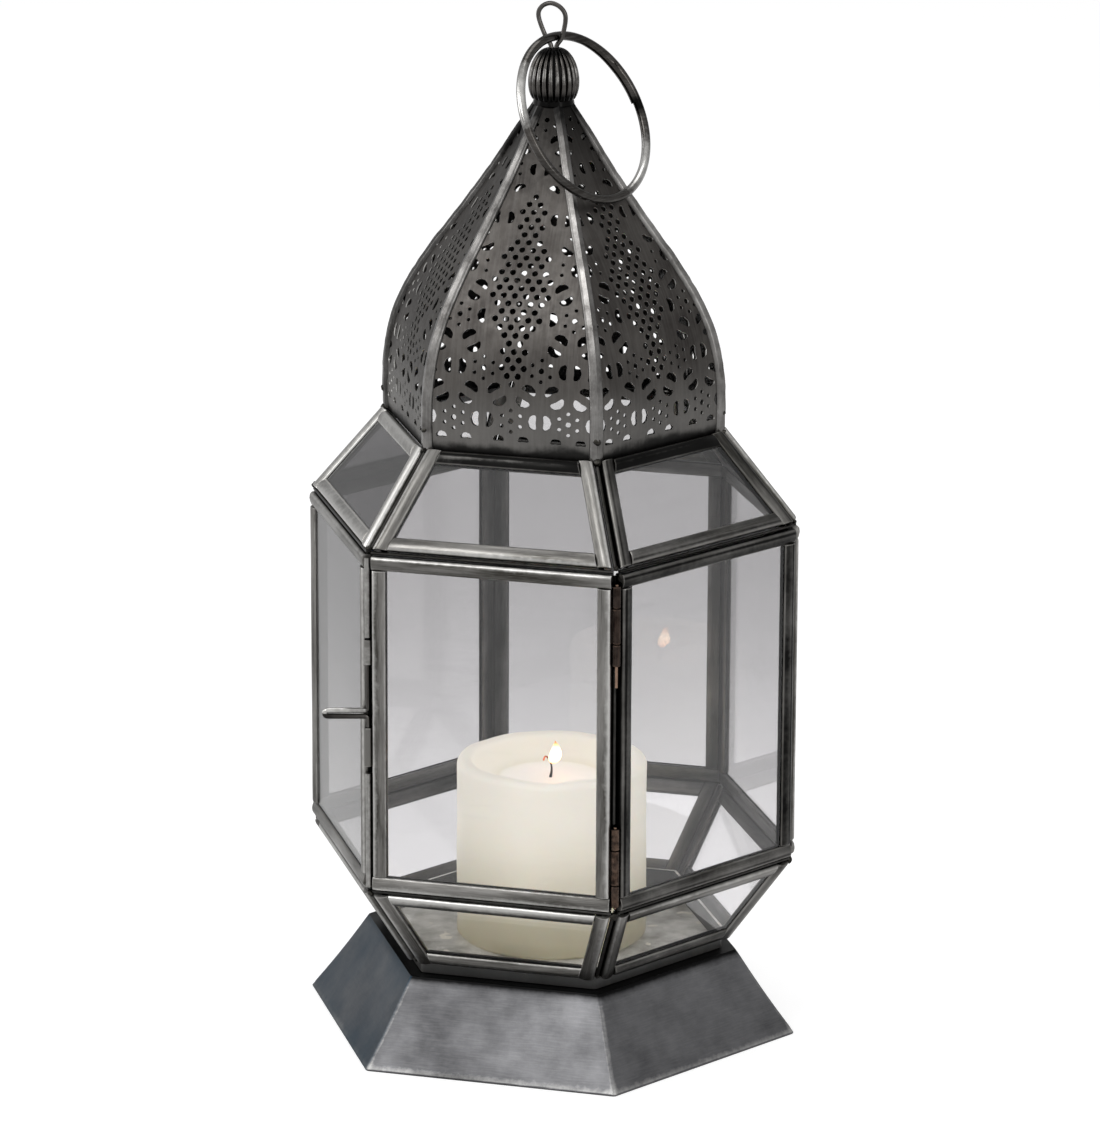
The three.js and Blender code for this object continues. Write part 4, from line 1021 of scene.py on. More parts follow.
class LANTERN_OT_foot(bpy.types.Operator):
    """Flared foot of brushed sheet, and the floor it carries"""

    bl_idname = "lantern.foot"
    bl_label = "Foot and floor"

    def execute(self, context):
        foot = sizes("foot")
        rim, top = foot.flats / 2, foot.top_flats / 2
        flare = math.atan2(rim - top, foot.height - foot.hem_height)
        wall = foot.sheet / math.cos(flare)
        inner = rim - foot.hem_width
        hem_top = foot.hem_height + (foot.hem_width - wall) / math.tan(flare)
        under = foot.height - foot.sheet
        bend = foot.sheet * math.tan(flare / 2)
        corner, tight = foot.corner, foot.inner_corner
        edge, hem_step, dish_depth, wave_depth, straight_to = 0.0003, 0.0002, 0.0006, 0.0005, 0.001
        # Half flats, height, corner radius and wear or painted shade, from the resting face round the outside
        # and back inside
        rows = [(inner, 0.0, tight, -0.3), (rim - edge, 0.0, corner, -0.4), (rim, edge, corner, -0.3)]
        rows += [(rim, foot.hem_height * 0.7, corner, 0.2), (rim - hem_step, foot.hem_height, corner, 0.7)]
        for t in np.linspace(0, 1, 18)[1:]:
            dish = dish_depth * math.sin(math.pi * t)
            # Painted shadow: the top of the slope turns black under the frames
            soot = -1.15 * max(0.0, (t - 0.87) / 0.13) ** 1.8
            fade = 0.45 * max(0.0, 1 - t / 0.12)
            row = (rim + (top - rim) * t - dish, foot.hem_height + (foot.height - foot.hem_height) * t)
            rows.append((*row, corner, soot + fade))
        # Painted shade: the flange and its underside under the frames are dark
        rows += [(top - foot.flange, foot.height, corner, -1.0), (top - foot.flange, under, corner, -0.4)]
        rows += [(top - bend, under, corner, -0.4), (inner, hem_top, tight, -0.3)]
        # Painted shade: how much darker each side is, in the order of their names
        stains = np.array([-0.2, -0.1, -0.2, 0.0, 0.0, -0.06])
        rings, wear = [], []
        for apothem, z, fillet, worn in rows:
            points, ridge, sides = hex_ring(apothem, fillet)
            ring = np.column_stack((points, np.full(len(points), z)))
            wave = np.array([spot(p, 28) for p in ring]) * wave_depth * (worn > -0.9) * (z > straight_to)
            ring[:, :2] *= (1 + wave / np.hypot(*ring[:, :2].T))[:, None]
            rings.append(ring)
            # Each side's painted shade, kept off the bright corners and the hem
            stain = stains[sides] * (1 - ridge) * (z > foot.hem_height)
            wear.append(worn + 0.45 * ridge * (worn > -0.35) * (z > edge) + stain)
        skin = Skin()
        skin.loft(rings, np.array(wear), closed=True)
        skin.piece("foot_skirt", foot_zinc(), "lantern", ["foot"], "foot_zinc", sharp=50)
        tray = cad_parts["floor_tray"]
        tray.data.materials.clear()
        tray.data.materials.append(floor_zinc())
        return {"FINISHED"}


# Onion dome


def dome_curve(steps=200):
    """The dome's profile, as corner radius and height over the seat, and the way up a panel's middle."""
    dome = sizes("dome")
    base = dome.base_radius
    a, b = np.array((base, 0)), np.array((base + dome.belly_swell, dome.belly_rise))
    c, d = np.array((dome.waist_radius, dome.waist_rise)), np.array((dome.top_radius, dome.height))
    t = np.linspace(0, 1, steps)[:, None]
    line = (1 - t) ** 3 * a + 3 * (1 - t) ** 2 * t * b + 3 * (1 - t) * t**2 * c + t**3 * d
    middle = line * (COS_HALF, 1)
    walked = np.concatenate(([0], np.cumsum(np.linalg.norm(np.diff(middle, axis=0), axis=1))))
    return line, walked


def lozenge_half(row, rows):
    """Half width of the lozenge in half pitches: a broad middle with a narrow stem and point each way."""
    away = abs(row - (rows - 1) // 2)
    for limit, half in ((1, 5), (4, 4), (5, 3), (10, 2), (11, 1)):
        if away <= limit:
            return half
    return 0


def piercing():
    """Where the sheet is pierced: across, up the sheet, turn, whether it is a petal, and its size."""
    dome = sizes("dome")
    line, walked = dome_curve()
    rows, flower_rows = 25, 7
    margin, top_gap, hem_petal, hem_scale = 0.0006, 0.004, 0.0046, 0.74
    ends = dome.lozenge_start + (rows - 1) * dome.lozenge_row
    found = []
    for row in range(rows):
        up = dome.lozenge_start + row * dome.lozenge_row
        count = lozenge_half(row, rows)
        count -= (count + row) % 2
        for k in range(-count, count + 1, 2):
            found.append((k * dome.lozenge_pitch / 2, up, 0.0, 0, dome.dot))

    def plain(x, up, reach):
        """True on sheet that is clear of the hem, the top and the lozenge."""
        half = np.interp(up, walked, line[:, 0]) * math.sin(HALF_SIDE)
        inside = up < walked[-1] - top_gap and abs(x) < half + margin
        if up < dome.lozenge_start - reach - dome.dot or up > ends + reach + dome.dot:
            return inside
        row = round((up - dome.lozenge_start) / dome.lozenge_row)
        near = [lozenge_half(r, rows) for r in (row - 1, row, row + 1) if 0 <= r < rows]
        taken = max(near, default=0) * dome.lozenge_pitch / 2
        return inside and abs(x) > taken + dome.dot / 2 + reach + margin

    for row in range(flower_rows):
        stagger = 0.5 * (row % 2)
        for column in range(-2, 3):
            x = (column + stagger) * dome.flower_pitch
            up = dome.first_row + row * dome.row_pitch
            for k in range(SIDES):
                turn = 2 * HALF_SIDE * k
                px, py = x + dome.petal_circle * math.cos(turn), up + dome.petal_circle * math.sin(turn)
                reach = dome.petal_width / 2 if k % 3 == 0 else dome.petal_length / 3
                if row == 0 and k > 3:
                    side = math.copysign(hem_petal, math.cos(turn))
                    found.append((x + side, dome.first_row / 2, 1.5 * math.pi, 1, hem_scale))
                elif plain(px, py, reach):
                    found.append((px, py, turn, 1, 1.0))
                turn += HALF_SIDE
                px, py = x + dome.seed_circle * math.cos(turn), up + dome.seed_circle * math.sin(turn)
                if plain(px, py, dome.seed / 2):
                    found.append((px, py, 0.0, 0, dome.seed))
            if plain(x, up, dome.heart / 2):
                found.append((x, up, 0.0, 0, dome.heart))
    found = np.array(found)
    # Holes shrink towards the peak, petals more than dots
    found[:, 4] *= np.interp(found[:, 1], (0.045, 0.11), (1.0, 0.78)) ** (0.4 + 0.6 * found[:, 3])
    half = np.interp(found[:, 1], walked, line[:, 0]) * math.sin(HALF_SIDE)
    return found[abs(found[:, 0]) < half + margin]


def profile_nodes(add, given, scale=1.0, resolution=96):
    """A profile from four control points as a curve, with its radii scaled: less than one for the middle
    of a flat panel."""
    points = {}
    for end, radius, rise in (
        ("Start", "Base Radius", None),
        ("Start Handle", "Belly Radius", "Belly Rise"),
        ("End Handle", "Waist Radius", "Waist Rise"),
        ("End", "Top Radius", "Height"),
    ):
        across = add("ShaderNodeMath", {0: given[radius], 1: scale}, operation="MULTIPLY")[0]
        points[end] = add("ShaderNodeCombineXYZ", {"X": across, "Z": given[rise] if rise else 0.0})["Vector"]
    return add("GeometryNodeCurvePrimitiveBezierSegment", {"Resolution": resolution, **points})["Curve"]


def off_profile(add, sample, lift):
    """A place off the profile, square to it at a sample: how far out, how high, and the profile's radius."""
    there = add("ShaderNodeSeparateXYZ", {"Vector": sample["Position"]})
    ahead = add("ShaderNodeSeparateXYZ", {"Vector": sample["Tangent"]})
    out = add("ShaderNodeMath", {0: lift, 1: ahead["Z"], 2: there["X"]}, operation="MULTIPLY_ADD")[0]
    fall = add("ShaderNodeMath", {0: lift, 1: ahead["X"]}, operation="MULTIPLY")[0]
    level = add("ShaderNodeMath", {0: there["Z"], 1: fall}, operation="SUBTRACT")[0]
    return out, level, there["X"]


def round_copies(add, shape, seat, first=0.0, copies=SIDES):
    """Copies of a shape about the axis, the first one turned as given, lifted to the seat and made real."""
    lift = add("ShaderNodeCombineXYZ", {"Z": seat})["Vector"]
    stack = {"Count": copies, "Start Location": lift, "Offset": (0.0, 0.0, 0.0)}
    stops = add("GeometryNodeMeshLine", stack)["Mesh"]
    index = add("GeometryNodeInputIndex")["Index"]
    step = add("ShaderNodeMath", {0: 2 * math.pi, 1: copies}, operation="DIVIDE")[0]
    turn = add("ShaderNodeMath", {0: index, 1: step, 2: first}, operation="MULTIPLY_ADD")[0]
    facing = add("ShaderNodeCombineXYZ", {"Z": turn})["Vector"]
    facing = add("FunctionNodeEulerToRotation", {"Euler": facing})["Rotation"]
    spread = {"Points": stops, "Instance": shape, "Rotation": facing}
    copied = add("GeometryNodeInstanceOnPoints", spread)["Instances"]
    return add("GeometryNodeRealizeInstances", {"Geometry": copied})["Geometry"]


PROFILE = ("Base Radius", "Belly Radius", "Belly Rise", "Waist Radius", "Waist Rise", "Top Radius", "Height")


def sheet_tree():
    """A flat blank pierced at the given points, bent up the dome's profile and set round the axis."""
    petal_sizes = ("Petal Length", "Petal Width", "Petal Bow")
    add, given = shape_tree("pierced_dome_sheet", *PROFILE, "Seat", "Length", "Sheet", *petal_sizes)
    profile = profile_nodes(add, given, COS_HALF)
    place = add("GeometryNodeInputPosition")["Position"]
    flat = add("ShaderNodeSeparateXYZ", {"Vector": place})

    # Blank: a slab whose width follows the profile
    slab = add(
        "GeometryNodeMeshCube", {"Size": (2.0, 1.0, 1.0), "Vertices X": 9, "Vertices Y": 72, "Vertices Z": 2}
    )["Mesh"]
    share = add("ShaderNodeMath", {0: flat["Y"], 1: 0.5}, operation="ADD")[0]
    up = add("ShaderNodeMath", {0: share, 1: given["Length"]}, operation="MULTIPLY")[0]
    there = add("GeometryNodeSampleCurve", {"Curves": profile, "Length": up}, mode="LENGTH")["Position"]
    apothem = add("ShaderNodeSeparateXYZ", {"Vector": there})["X"]
    half = add("ShaderNodeMath", {0: apothem, 1: TAN_HALF}, operation="MULTIPLY")[0]
    across = add("ShaderNodeMath", {0: flat["X"], 1: half}, operation="MULTIPLY")[0]
    thick = add("ShaderNodeMath", {0: flat["Z"], 1: 0.5}, operation="ADD")[0]
    thick = add("ShaderNodeMath", {0: thick, 1: given["Sheet"]}, operation="MULTIPLY")[0]
    spread = add("ShaderNodeCombineXYZ", {"X": across, "Y": up, "Z": thick})["Vector"]
    blank = add("GeometryNodeSetPosition", {"Geometry": slab, "Position": spread})["Geometry"]

    # Punches: round-ended bean petals whose ends bend away from the flower, and round dots
    depth = add("ShaderNodeMath", {0: given["Sheet"], 1: 4.0}, operation="MULTIPLY")[0]
    rod, dot = [
        add("GeometryNodeMeshCylinder", {"Depth": depth, "Vertices": count, "Radius": radius})["Mesh"]
        for count, radius in ((18, 1.0), (14, 0.5))
    ]
    half_wide = add("ShaderNodeMath", {0: given["Petal Width"], 1: 0.5}, operation="MULTIPLY")[0]
    straight = add(
        "ShaderNodeMath", {0: given["Petal Length"], 1: given["Petal Width"]}, operation="SUBTRACT"
    )[0]
    end = add("ShaderNodeMapRange", {"Value": flat["Y"], 1: -0.3, 2: 0.3, 3: -0.5, 4: 0.5})["Result"]
    shift = add("ShaderNodeMath", {0: end, 1: straight}, operation="MULTIPLY")[0]
    long_way = add("ShaderNodeMath", {0: flat["Y"], 1: half_wide, 2: shift}, operation="MULTIPLY_ADD")[0]
    share = add("ShaderNodeMath", {0: long_way, 1: given["Petal Length"]}, operation="DIVIDE")[0]
    away = add("ShaderNodeMath", {0: share, 1: share}, operation="MULTIPLY")[0]
    bend = add("ShaderNodeMath", {0: away, 1: 4.0, 2: -0.35}, operation="MULTIPLY_ADD")[0]
    bend = add("ShaderNodeMath", {0: bend, 1: given["Petal Bow"]}, operation="MULTIPLY")[0]
    slim = add("ShaderNodeMath", {0: away, 1: -0.8, 2: 1.0}, operation="MULTIPLY_ADD")[0]
    slim = add("ShaderNodeMath", {0: slim, 1: half_wide}, operation="MULTIPLY")[0]
    wide_way = add("ShaderNodeMath", {0: flat["X"], 1: slim, 2: bend}, operation="MULTIPLY_ADD")[0]
    bean = add("ShaderNodeCombineXYZ", {"X": wide_way, "Y": long_way, "Z": flat["Z"]})["Vector"]
    petal = add("GeometryNodeSetPosition", {"Geometry": rod, "Position": bean})["Geometry"]
    is_petal, turn, size = [
        add("GeometryNodeInputNamedAttribute", {"Name": name}, data_type=kind)[0]
        for name, kind in (("petal", "BOOLEAN"), ("turn", "FLOAT"), ("size", "FLOAT"))
    ]
    is_dot = add("FunctionNodeBooleanMath", {0: is_petal}, operation="NOT")[0]
    facing = add("ShaderNodeCombineXYZ", {"Z": turn})["Vector"]
    facing = add("FunctionNodeEulerToRotation", {"Euler": facing})["Rotation"]
    scale = add("ShaderNodeCombineXYZ", {"X": size, "Y": size, "Z": 1.0})["Vector"]
    spread = {"Points": given["Geometry"], "Rotation": facing, "Scale": scale}
    punches = [
        add("GeometryNodeInstanceOnPoints", {**spread, "Selection": chosen, "Instance": punch})["Instances"]
        for chosen, punch in ((is_petal, petal), (is_dot, dot))
    ]
    punches = add("GeometryNodeJoinGeometry", {0: punches})[0]
    punches = add("GeometryNodeRealizeInstances", {"Geometry": punches})["Geometry"]
    pierced = add(
        "GeometryNodeMeshBoolean", {"Mesh 1": blank, "Mesh 2": punches},
        operation="DIFFERENCE", solver="MANIFOLD",
    )["Mesh"]
    marked = add(
        "GeometryNodeStoreNamedAttribute", {"Geometry": pierced, "Name": "sheet", "Value": place},
        data_type="FLOAT_VECTOR", domain="POINT",
    )["Geometry"]

    # Bend: the sheet's length runs up the profile and its thickness lies along the profile's normal
    sample = add("GeometryNodeSampleCurve", {"Curves": profile, "Length": flat["Y"]}, mode="LENGTH")
    depth_in = add("ShaderNodeMath", {0: flat["Z"], 1: given["Sheet"]}, operation="SUBTRACT")[0]
    out, level, apothem = off_profile(add, sample, depth_in)
    mitre = add("ShaderNodeMath", {0: out, 1: apothem}, operation="DIVIDE")[0]
    across = add("ShaderNodeMath", {0: flat["X"], 1: mitre}, operation="MULTIPLY")[0]
    bent = add("ShaderNodeCombineXYZ", {"X": out, "Y": across, "Z": level})["Vector"]
    panel = add("GeometryNodeSetPosition", {"Geometry": marked, "Position": bent})["Geometry"]
    return closed_tree(add, round_copies(add, panel, given["Seat"], HALF_SIDE), given)


def rib_tree():
    """A strip folded over the dome's corner, narrower upwards, set round the axis."""
    add, given = shape_tree("dome_ribs", *PROFILE, "Seat", "Width", "Top Width", "Thickness")
    profile = profile_nodes(add, given)
    strip = {"Vertices": 20, "Side Segments": 64, "Radius": 1.0, "Depth": 1.0}
    rod = add("GeometryNodeMeshCylinder", strip)["Mesh"]
    place = add("GeometryNodeInputPosition")["Position"]
    flat = add("ShaderNodeSeparateXYZ", {"Vector": place})
    share = add("ShaderNodeMath", {0: flat["Z"], 1: 0.5}, operation="ADD")[0]
    sample = add("GeometryNodeSampleCurve", {"Curves": profile, "Factor": share}, mode="FACTOR")
    width = add("ShaderNodeMix", {0: share, 2: given["Width"], 3: given["Top Width"]})[0]
    half = add("ShaderNodeMath", {0: width, 1: 0.5}, operation="MULTIPLY")[0]
    across = add("ShaderNodeMath", {0: flat["Y"], 1: half}, operation="MULTIPLY")[0]
    aside = add("ShaderNodeMath", {0: across}, operation="ABSOLUTE")[0]
    fold = add("ShaderNodeMath", {0: aside, 1: TAN_HALF}, operation="MULTIPLY")[0]
    proud = add(
        "ShaderNodeMapRange", {"Value": flat["X"], 1: -0.6, 2: 0.6, 3: -0.4, 4: 1.0},
        interpolation_type="SMOOTHSTEP",
    )["Result"]
    # Thicker and thinner stretches about 5 mm apart
    lumps = add("ShaderNodeTexNoise", {"Vector": sample["Position"], "Scale": 190.0, "Detail": 2.0})["Fac"]
    uneven = add("ShaderNodeMapRange", {"Value": lumps, 1: 0.3, 2: 0.7, 3: 0.85, 4: 1.15})["Result"]
    thin = add("ShaderNodeMapRange", {"Value": share, 1: 0.9, 2: 1.0, 3: 1.0, 4: 0.1})["Result"]
    thick = add("ShaderNodeMath", {0: uneven, 1: thin}, operation="MULTIPLY")[0]
    thick = add("ShaderNodeMath", {0: thick, 1: given["Thickness"]}, operation="MULTIPLY")[0]
    lift = add("ShaderNodeMath", {0: proud, 1: thick}, operation="MULTIPLY")[0]
    lift = add("ShaderNodeMath", {0: lift, 1: fold}, operation="SUBTRACT")[0]
    out, level, _ = off_profile(add, sample, lift)
    level = add("ShaderNodeMath", {0: level, 1: 0.0}, operation="MAXIMUM")[0]
    bent = add("ShaderNodeCombineXYZ", {"X": out, "Y": across, "Z": level})["Vector"]
    soot = add("ShaderNodeMapRange", {"Value": share, 1: 0.8, 2: 1.0, 3: 0.0, 4: -1.0})["Result"]
    worn = add(
        "GeometryNodeStoreNamedAttribute", {"Geometry": rod, "Name": "wear", "Value": soot},
        data_type="FLOAT", domain="POINT",
    )["Geometry"]
    rib = add("GeometryNodeSetPosition", {"Geometry": worn, "Position": bent})["Geometry"]
    return closed_tree(add, round_copies(add, rib, given["Seat"]), given)


def dome_sheet():
    """Pierced sheet zinc, brown-grey: painted shade in a black band along the hem, darker at the peak and on
    its inner face, a painted highlight over the lowest rows of holes, soft clouds and short rubbing strokes
    up the panel."""
    c, dome = sizes("colours"), sizes("dome")
    material, add, shader = new_material("pierced_zinc_sheet")
    cloud_mm, fleck_mm = 22, 2.2
    place = add("ShaderNodeTexCoord")["Object"]
    lay = add("ShaderNodeAttribute", attribute_name="sheet")["Vector"]
    _, up, through = add("ShaderNodeSeparateXYZ", {"Vector": lay})
    # Strokes about 0.9 mm apart and 17 mm long
    stretched = add("ShaderNodeMapping", {"Vector": lay, "Scale": (1100.0, 60.0, 400.0)})["Vector"]
    cloud, fleck, lines = [
        add("ShaderNodeTexNoise", {"Vector": at, "Scale": scale, "Detail": detail, "Roughness": rough})["Fac"]
        for at, scale, detail, rough in (
            (place, 1000 / cloud_mm, 6, 0.6),
            (place, 1000 / fleck_mm, 4, 0.7),
            (stretched, 1.0, 3, 0.5),
        )
    ]
    drift = add("ShaderNodeMath", {0: cloud, 1: 0.012, 2: up}, operation="MULTIPLY_ADD")[0]
    body = (*c.sheet_dark, 1)
    # Layers of colour: what each follows, its range, how much of it at either end, its colour, how it fades
    for follows, start, end, first, last, colour, fade in (
        (cloud, 0.32, 0.66, 0.0, 1.0, c.sheet, "LINEAR"),
        (lines, 0.4, 0.8, 0.0, 0.045, c.zinc_worn, "LINEAR"),
        # Painted highlight: a paler band over the lowest rows of holes
        (drift, 0.013, 0.036, 0.13, 0.0, c.zinc_worn, "SMOOTHSTEP"),
        # Painted shade: a black band along the hem, where the dome meets the shoulder
        (drift, 0.0075, 0.0112, 0.85, 0.0, c.crevice, "SMOOTHSTEP"),
        (through, 0.0, dome.sheet, 0.93, 0.0, c.crevice, "LINEAR"),
        (drift, 0.09, 0.142, 0.0, 0.9, c.crevice, "SMOOTHSTEP"),
    ):
        spread = {"Value": follows, 1: start, 2: end, 3: first, 4: last}
        share = add("ShaderNodeMapRange", spread, interpolation_type=fade)["Result"]
        body = add("ShaderNodeMix", {0: share, 6: body, 7: (*colour, 1)}, data_type="RGBA")[2]
    # Bright burr on the outer edge of each hole's wall
    spread = {"Value": through, 1: 0.6 * dome.sheet, 2: 0.9 * dome.sheet, 3: 0.0, 4: 0.7}
    lip = add("ShaderNodeMapRange", spread)["Result"]
    wall = add("ShaderNodeMath", {0: through, 1: 0.985 * dome.sheet}, operation="LESS_THAN")[0]
    burr = add("ShaderNodeMath", {0: lip, 1: wall}, operation="MULTIPLY")[0]
    body = add("ShaderNodeMix", {0: burr, 6: body, 7: (*c.zinc_worn, 1)}, data_type="RGBA")[2]
    rough = add("ShaderNodeMapRange", {"Value": fleck, 1: 0.3, 2: 0.7, 3: 0.36, 4: 0.52})["Result"]
    relief = add("ShaderNodeMath", {0: fleck, 1: 1.6, 2: lines}, operation="MULTIPLY_ADD")[0]
    bump = add("ShaderNodeBump", {"Strength": 0.12, "Distance": 0.00012, "Height": relief})["Normal"]
    fill(shader, {"Base Color": body, "Roughness": rough, "Normal": bump, "Metallic": 1.0})
    return material


class LANTERN_OT_dome(bpy.types.Operator):
    """Six pierced sheets bent to an onion dome, and the ribs over their seams"""

    bl_idname = "lantern.dome"
    bl_label = "Pierced dome"

    def execute(self, context):
        dome, body = sizes("dome"), sizes("body")
        walked = dome_curve()[1]
        found = piercing()
        source = bpy.data.meshes.new("piercing")
        middle = np.full(len(found), dome.sheet / 2)
        source.from_pydata(np.column_stack((found[:, :2], middle)).tolist(), [], [])
        source.attributes.new("turn", "FLOAT", "POINT").data.foreach_set("value", found[:, 2])
        source.attributes.new("petal", "BOOLEAN", "POINT").data.foreach_set("value", found[:, 3] > 0)
        source.attributes.new("size", "FLOAT", "POINT").data.foreach_set("value", found[:, 4])
        shape = [dome.base_radius, dome.base_radius + dome.belly_swell, dome.belly_rise, dome.waist_radius]
        shape += [dome.waist_rise, dome.top_radius, dome.height]
        profile = dict(zip(PROFILE, shape))
        finish = dome_sheet()
        cut = {
            "Seat": dome.seat,
            "Length": float(walked[-1]),
            "Sheet": dome.sheet,
            "Petal Length": dome.petal_length,
            "Petal Width": dome.petal_width,
            "Petal Bow": dome.petal_bow,
            "Material": finish,
        }
        mesh = nodes_mesh("dome_sheets", sheet_tree(), {**profile, **cut}, source)
        nodes = [f"dome_panel_{name}" for name in SIDE_NAMES]
        finished("dome_sheets", mesh, finish, "lantern", nodes, sharp=30)

        rubbed = zinc("rubbed_zinc_rib")
        strip = {
            "Seat": dome.seat + 2 * body.seam,
            "Width": dome.rib_width,
            "Top Width": dome.rib_top_width,
            "Thickness": dome.rib_thickness,
            "Material": rubbed,
        }
        mesh = nodes_mesh("dome_ribs", rib_tree(), {**profile, **strip})
        # Painted shade: the rib on the left is darker than the rest
        worn = mesh.attributes["wear"].data
        for point, vertex in zip(worn, mesh.vertices):
            if vertex.co.x < -abs(vertex.co.y) * 3:
                point.value -= 0.6
        nodes = [f"dome_rib_{name}" for name in CORNER_NAMES]
        finished("dome_ribs", mesh, rubbed, "lantern", nodes, sharp=50)
        return {"FINISHED"}


# Collar, bead, eye and ring


def bead_tree():
    """A bead of lobes: one bowed rod, thickest at its middle, set round the axis."""
    add, given = shape_tree("fluted_bead", *PROFILE, "Seat", "Copies", "Bead Radius", "Lobe")
    bow = profile_nodes(add, given, resolution=20)
    section = add("GeometryNodeCurvePrimitiveCircle", {"Resolution": 10, "Radius": given["Lobe"]})["Curve"]
    place = add("GeometryNodeInputPosition")["Position"]
    out, _, level = add("ShaderNodeSeparateXYZ", {"Vector": place})
    scale = add("ShaderNodeMath", {0: out, 1: given["Bead Radius"]}, operation="DIVIDE")[0]
    swept = {"Curve": bow, "Profile Curve": section, "Scale": scale, "Fill Caps": True}
    lobe = add("GeometryNodeCurveToMesh", swept)["Mesh"]
    # Painted highlight at the middle height of each lobe, painted shade towards its ends
    level = add("ShaderNodeMath", {0: level, 1: given["Height"]}, operation="DIVIDE")[0]
    level = add("ShaderNodeMath", {0: level, 1: 0.5}, operation="SUBTRACT")[0]
    level = add("ShaderNodeMath", {0: level, 1: level}, operation="MULTIPLY")[0]
    shine = add("ShaderNodeMath", {0: level, 1: -7.5, 2: 0.5}, operation="MULTIPLY_ADD")[0]
    rubbed = {"Geometry": lobe, "Name": "wear", "Value": shine}
    lobe = add("GeometryNodeStoreNamedAttribute", rubbed, data_type="FLOAT", domain="POINT")["Geometry"]
    return closed_tree(add, round_copies(add, lobe, given["Seat"], copies=given["Copies"]), given)


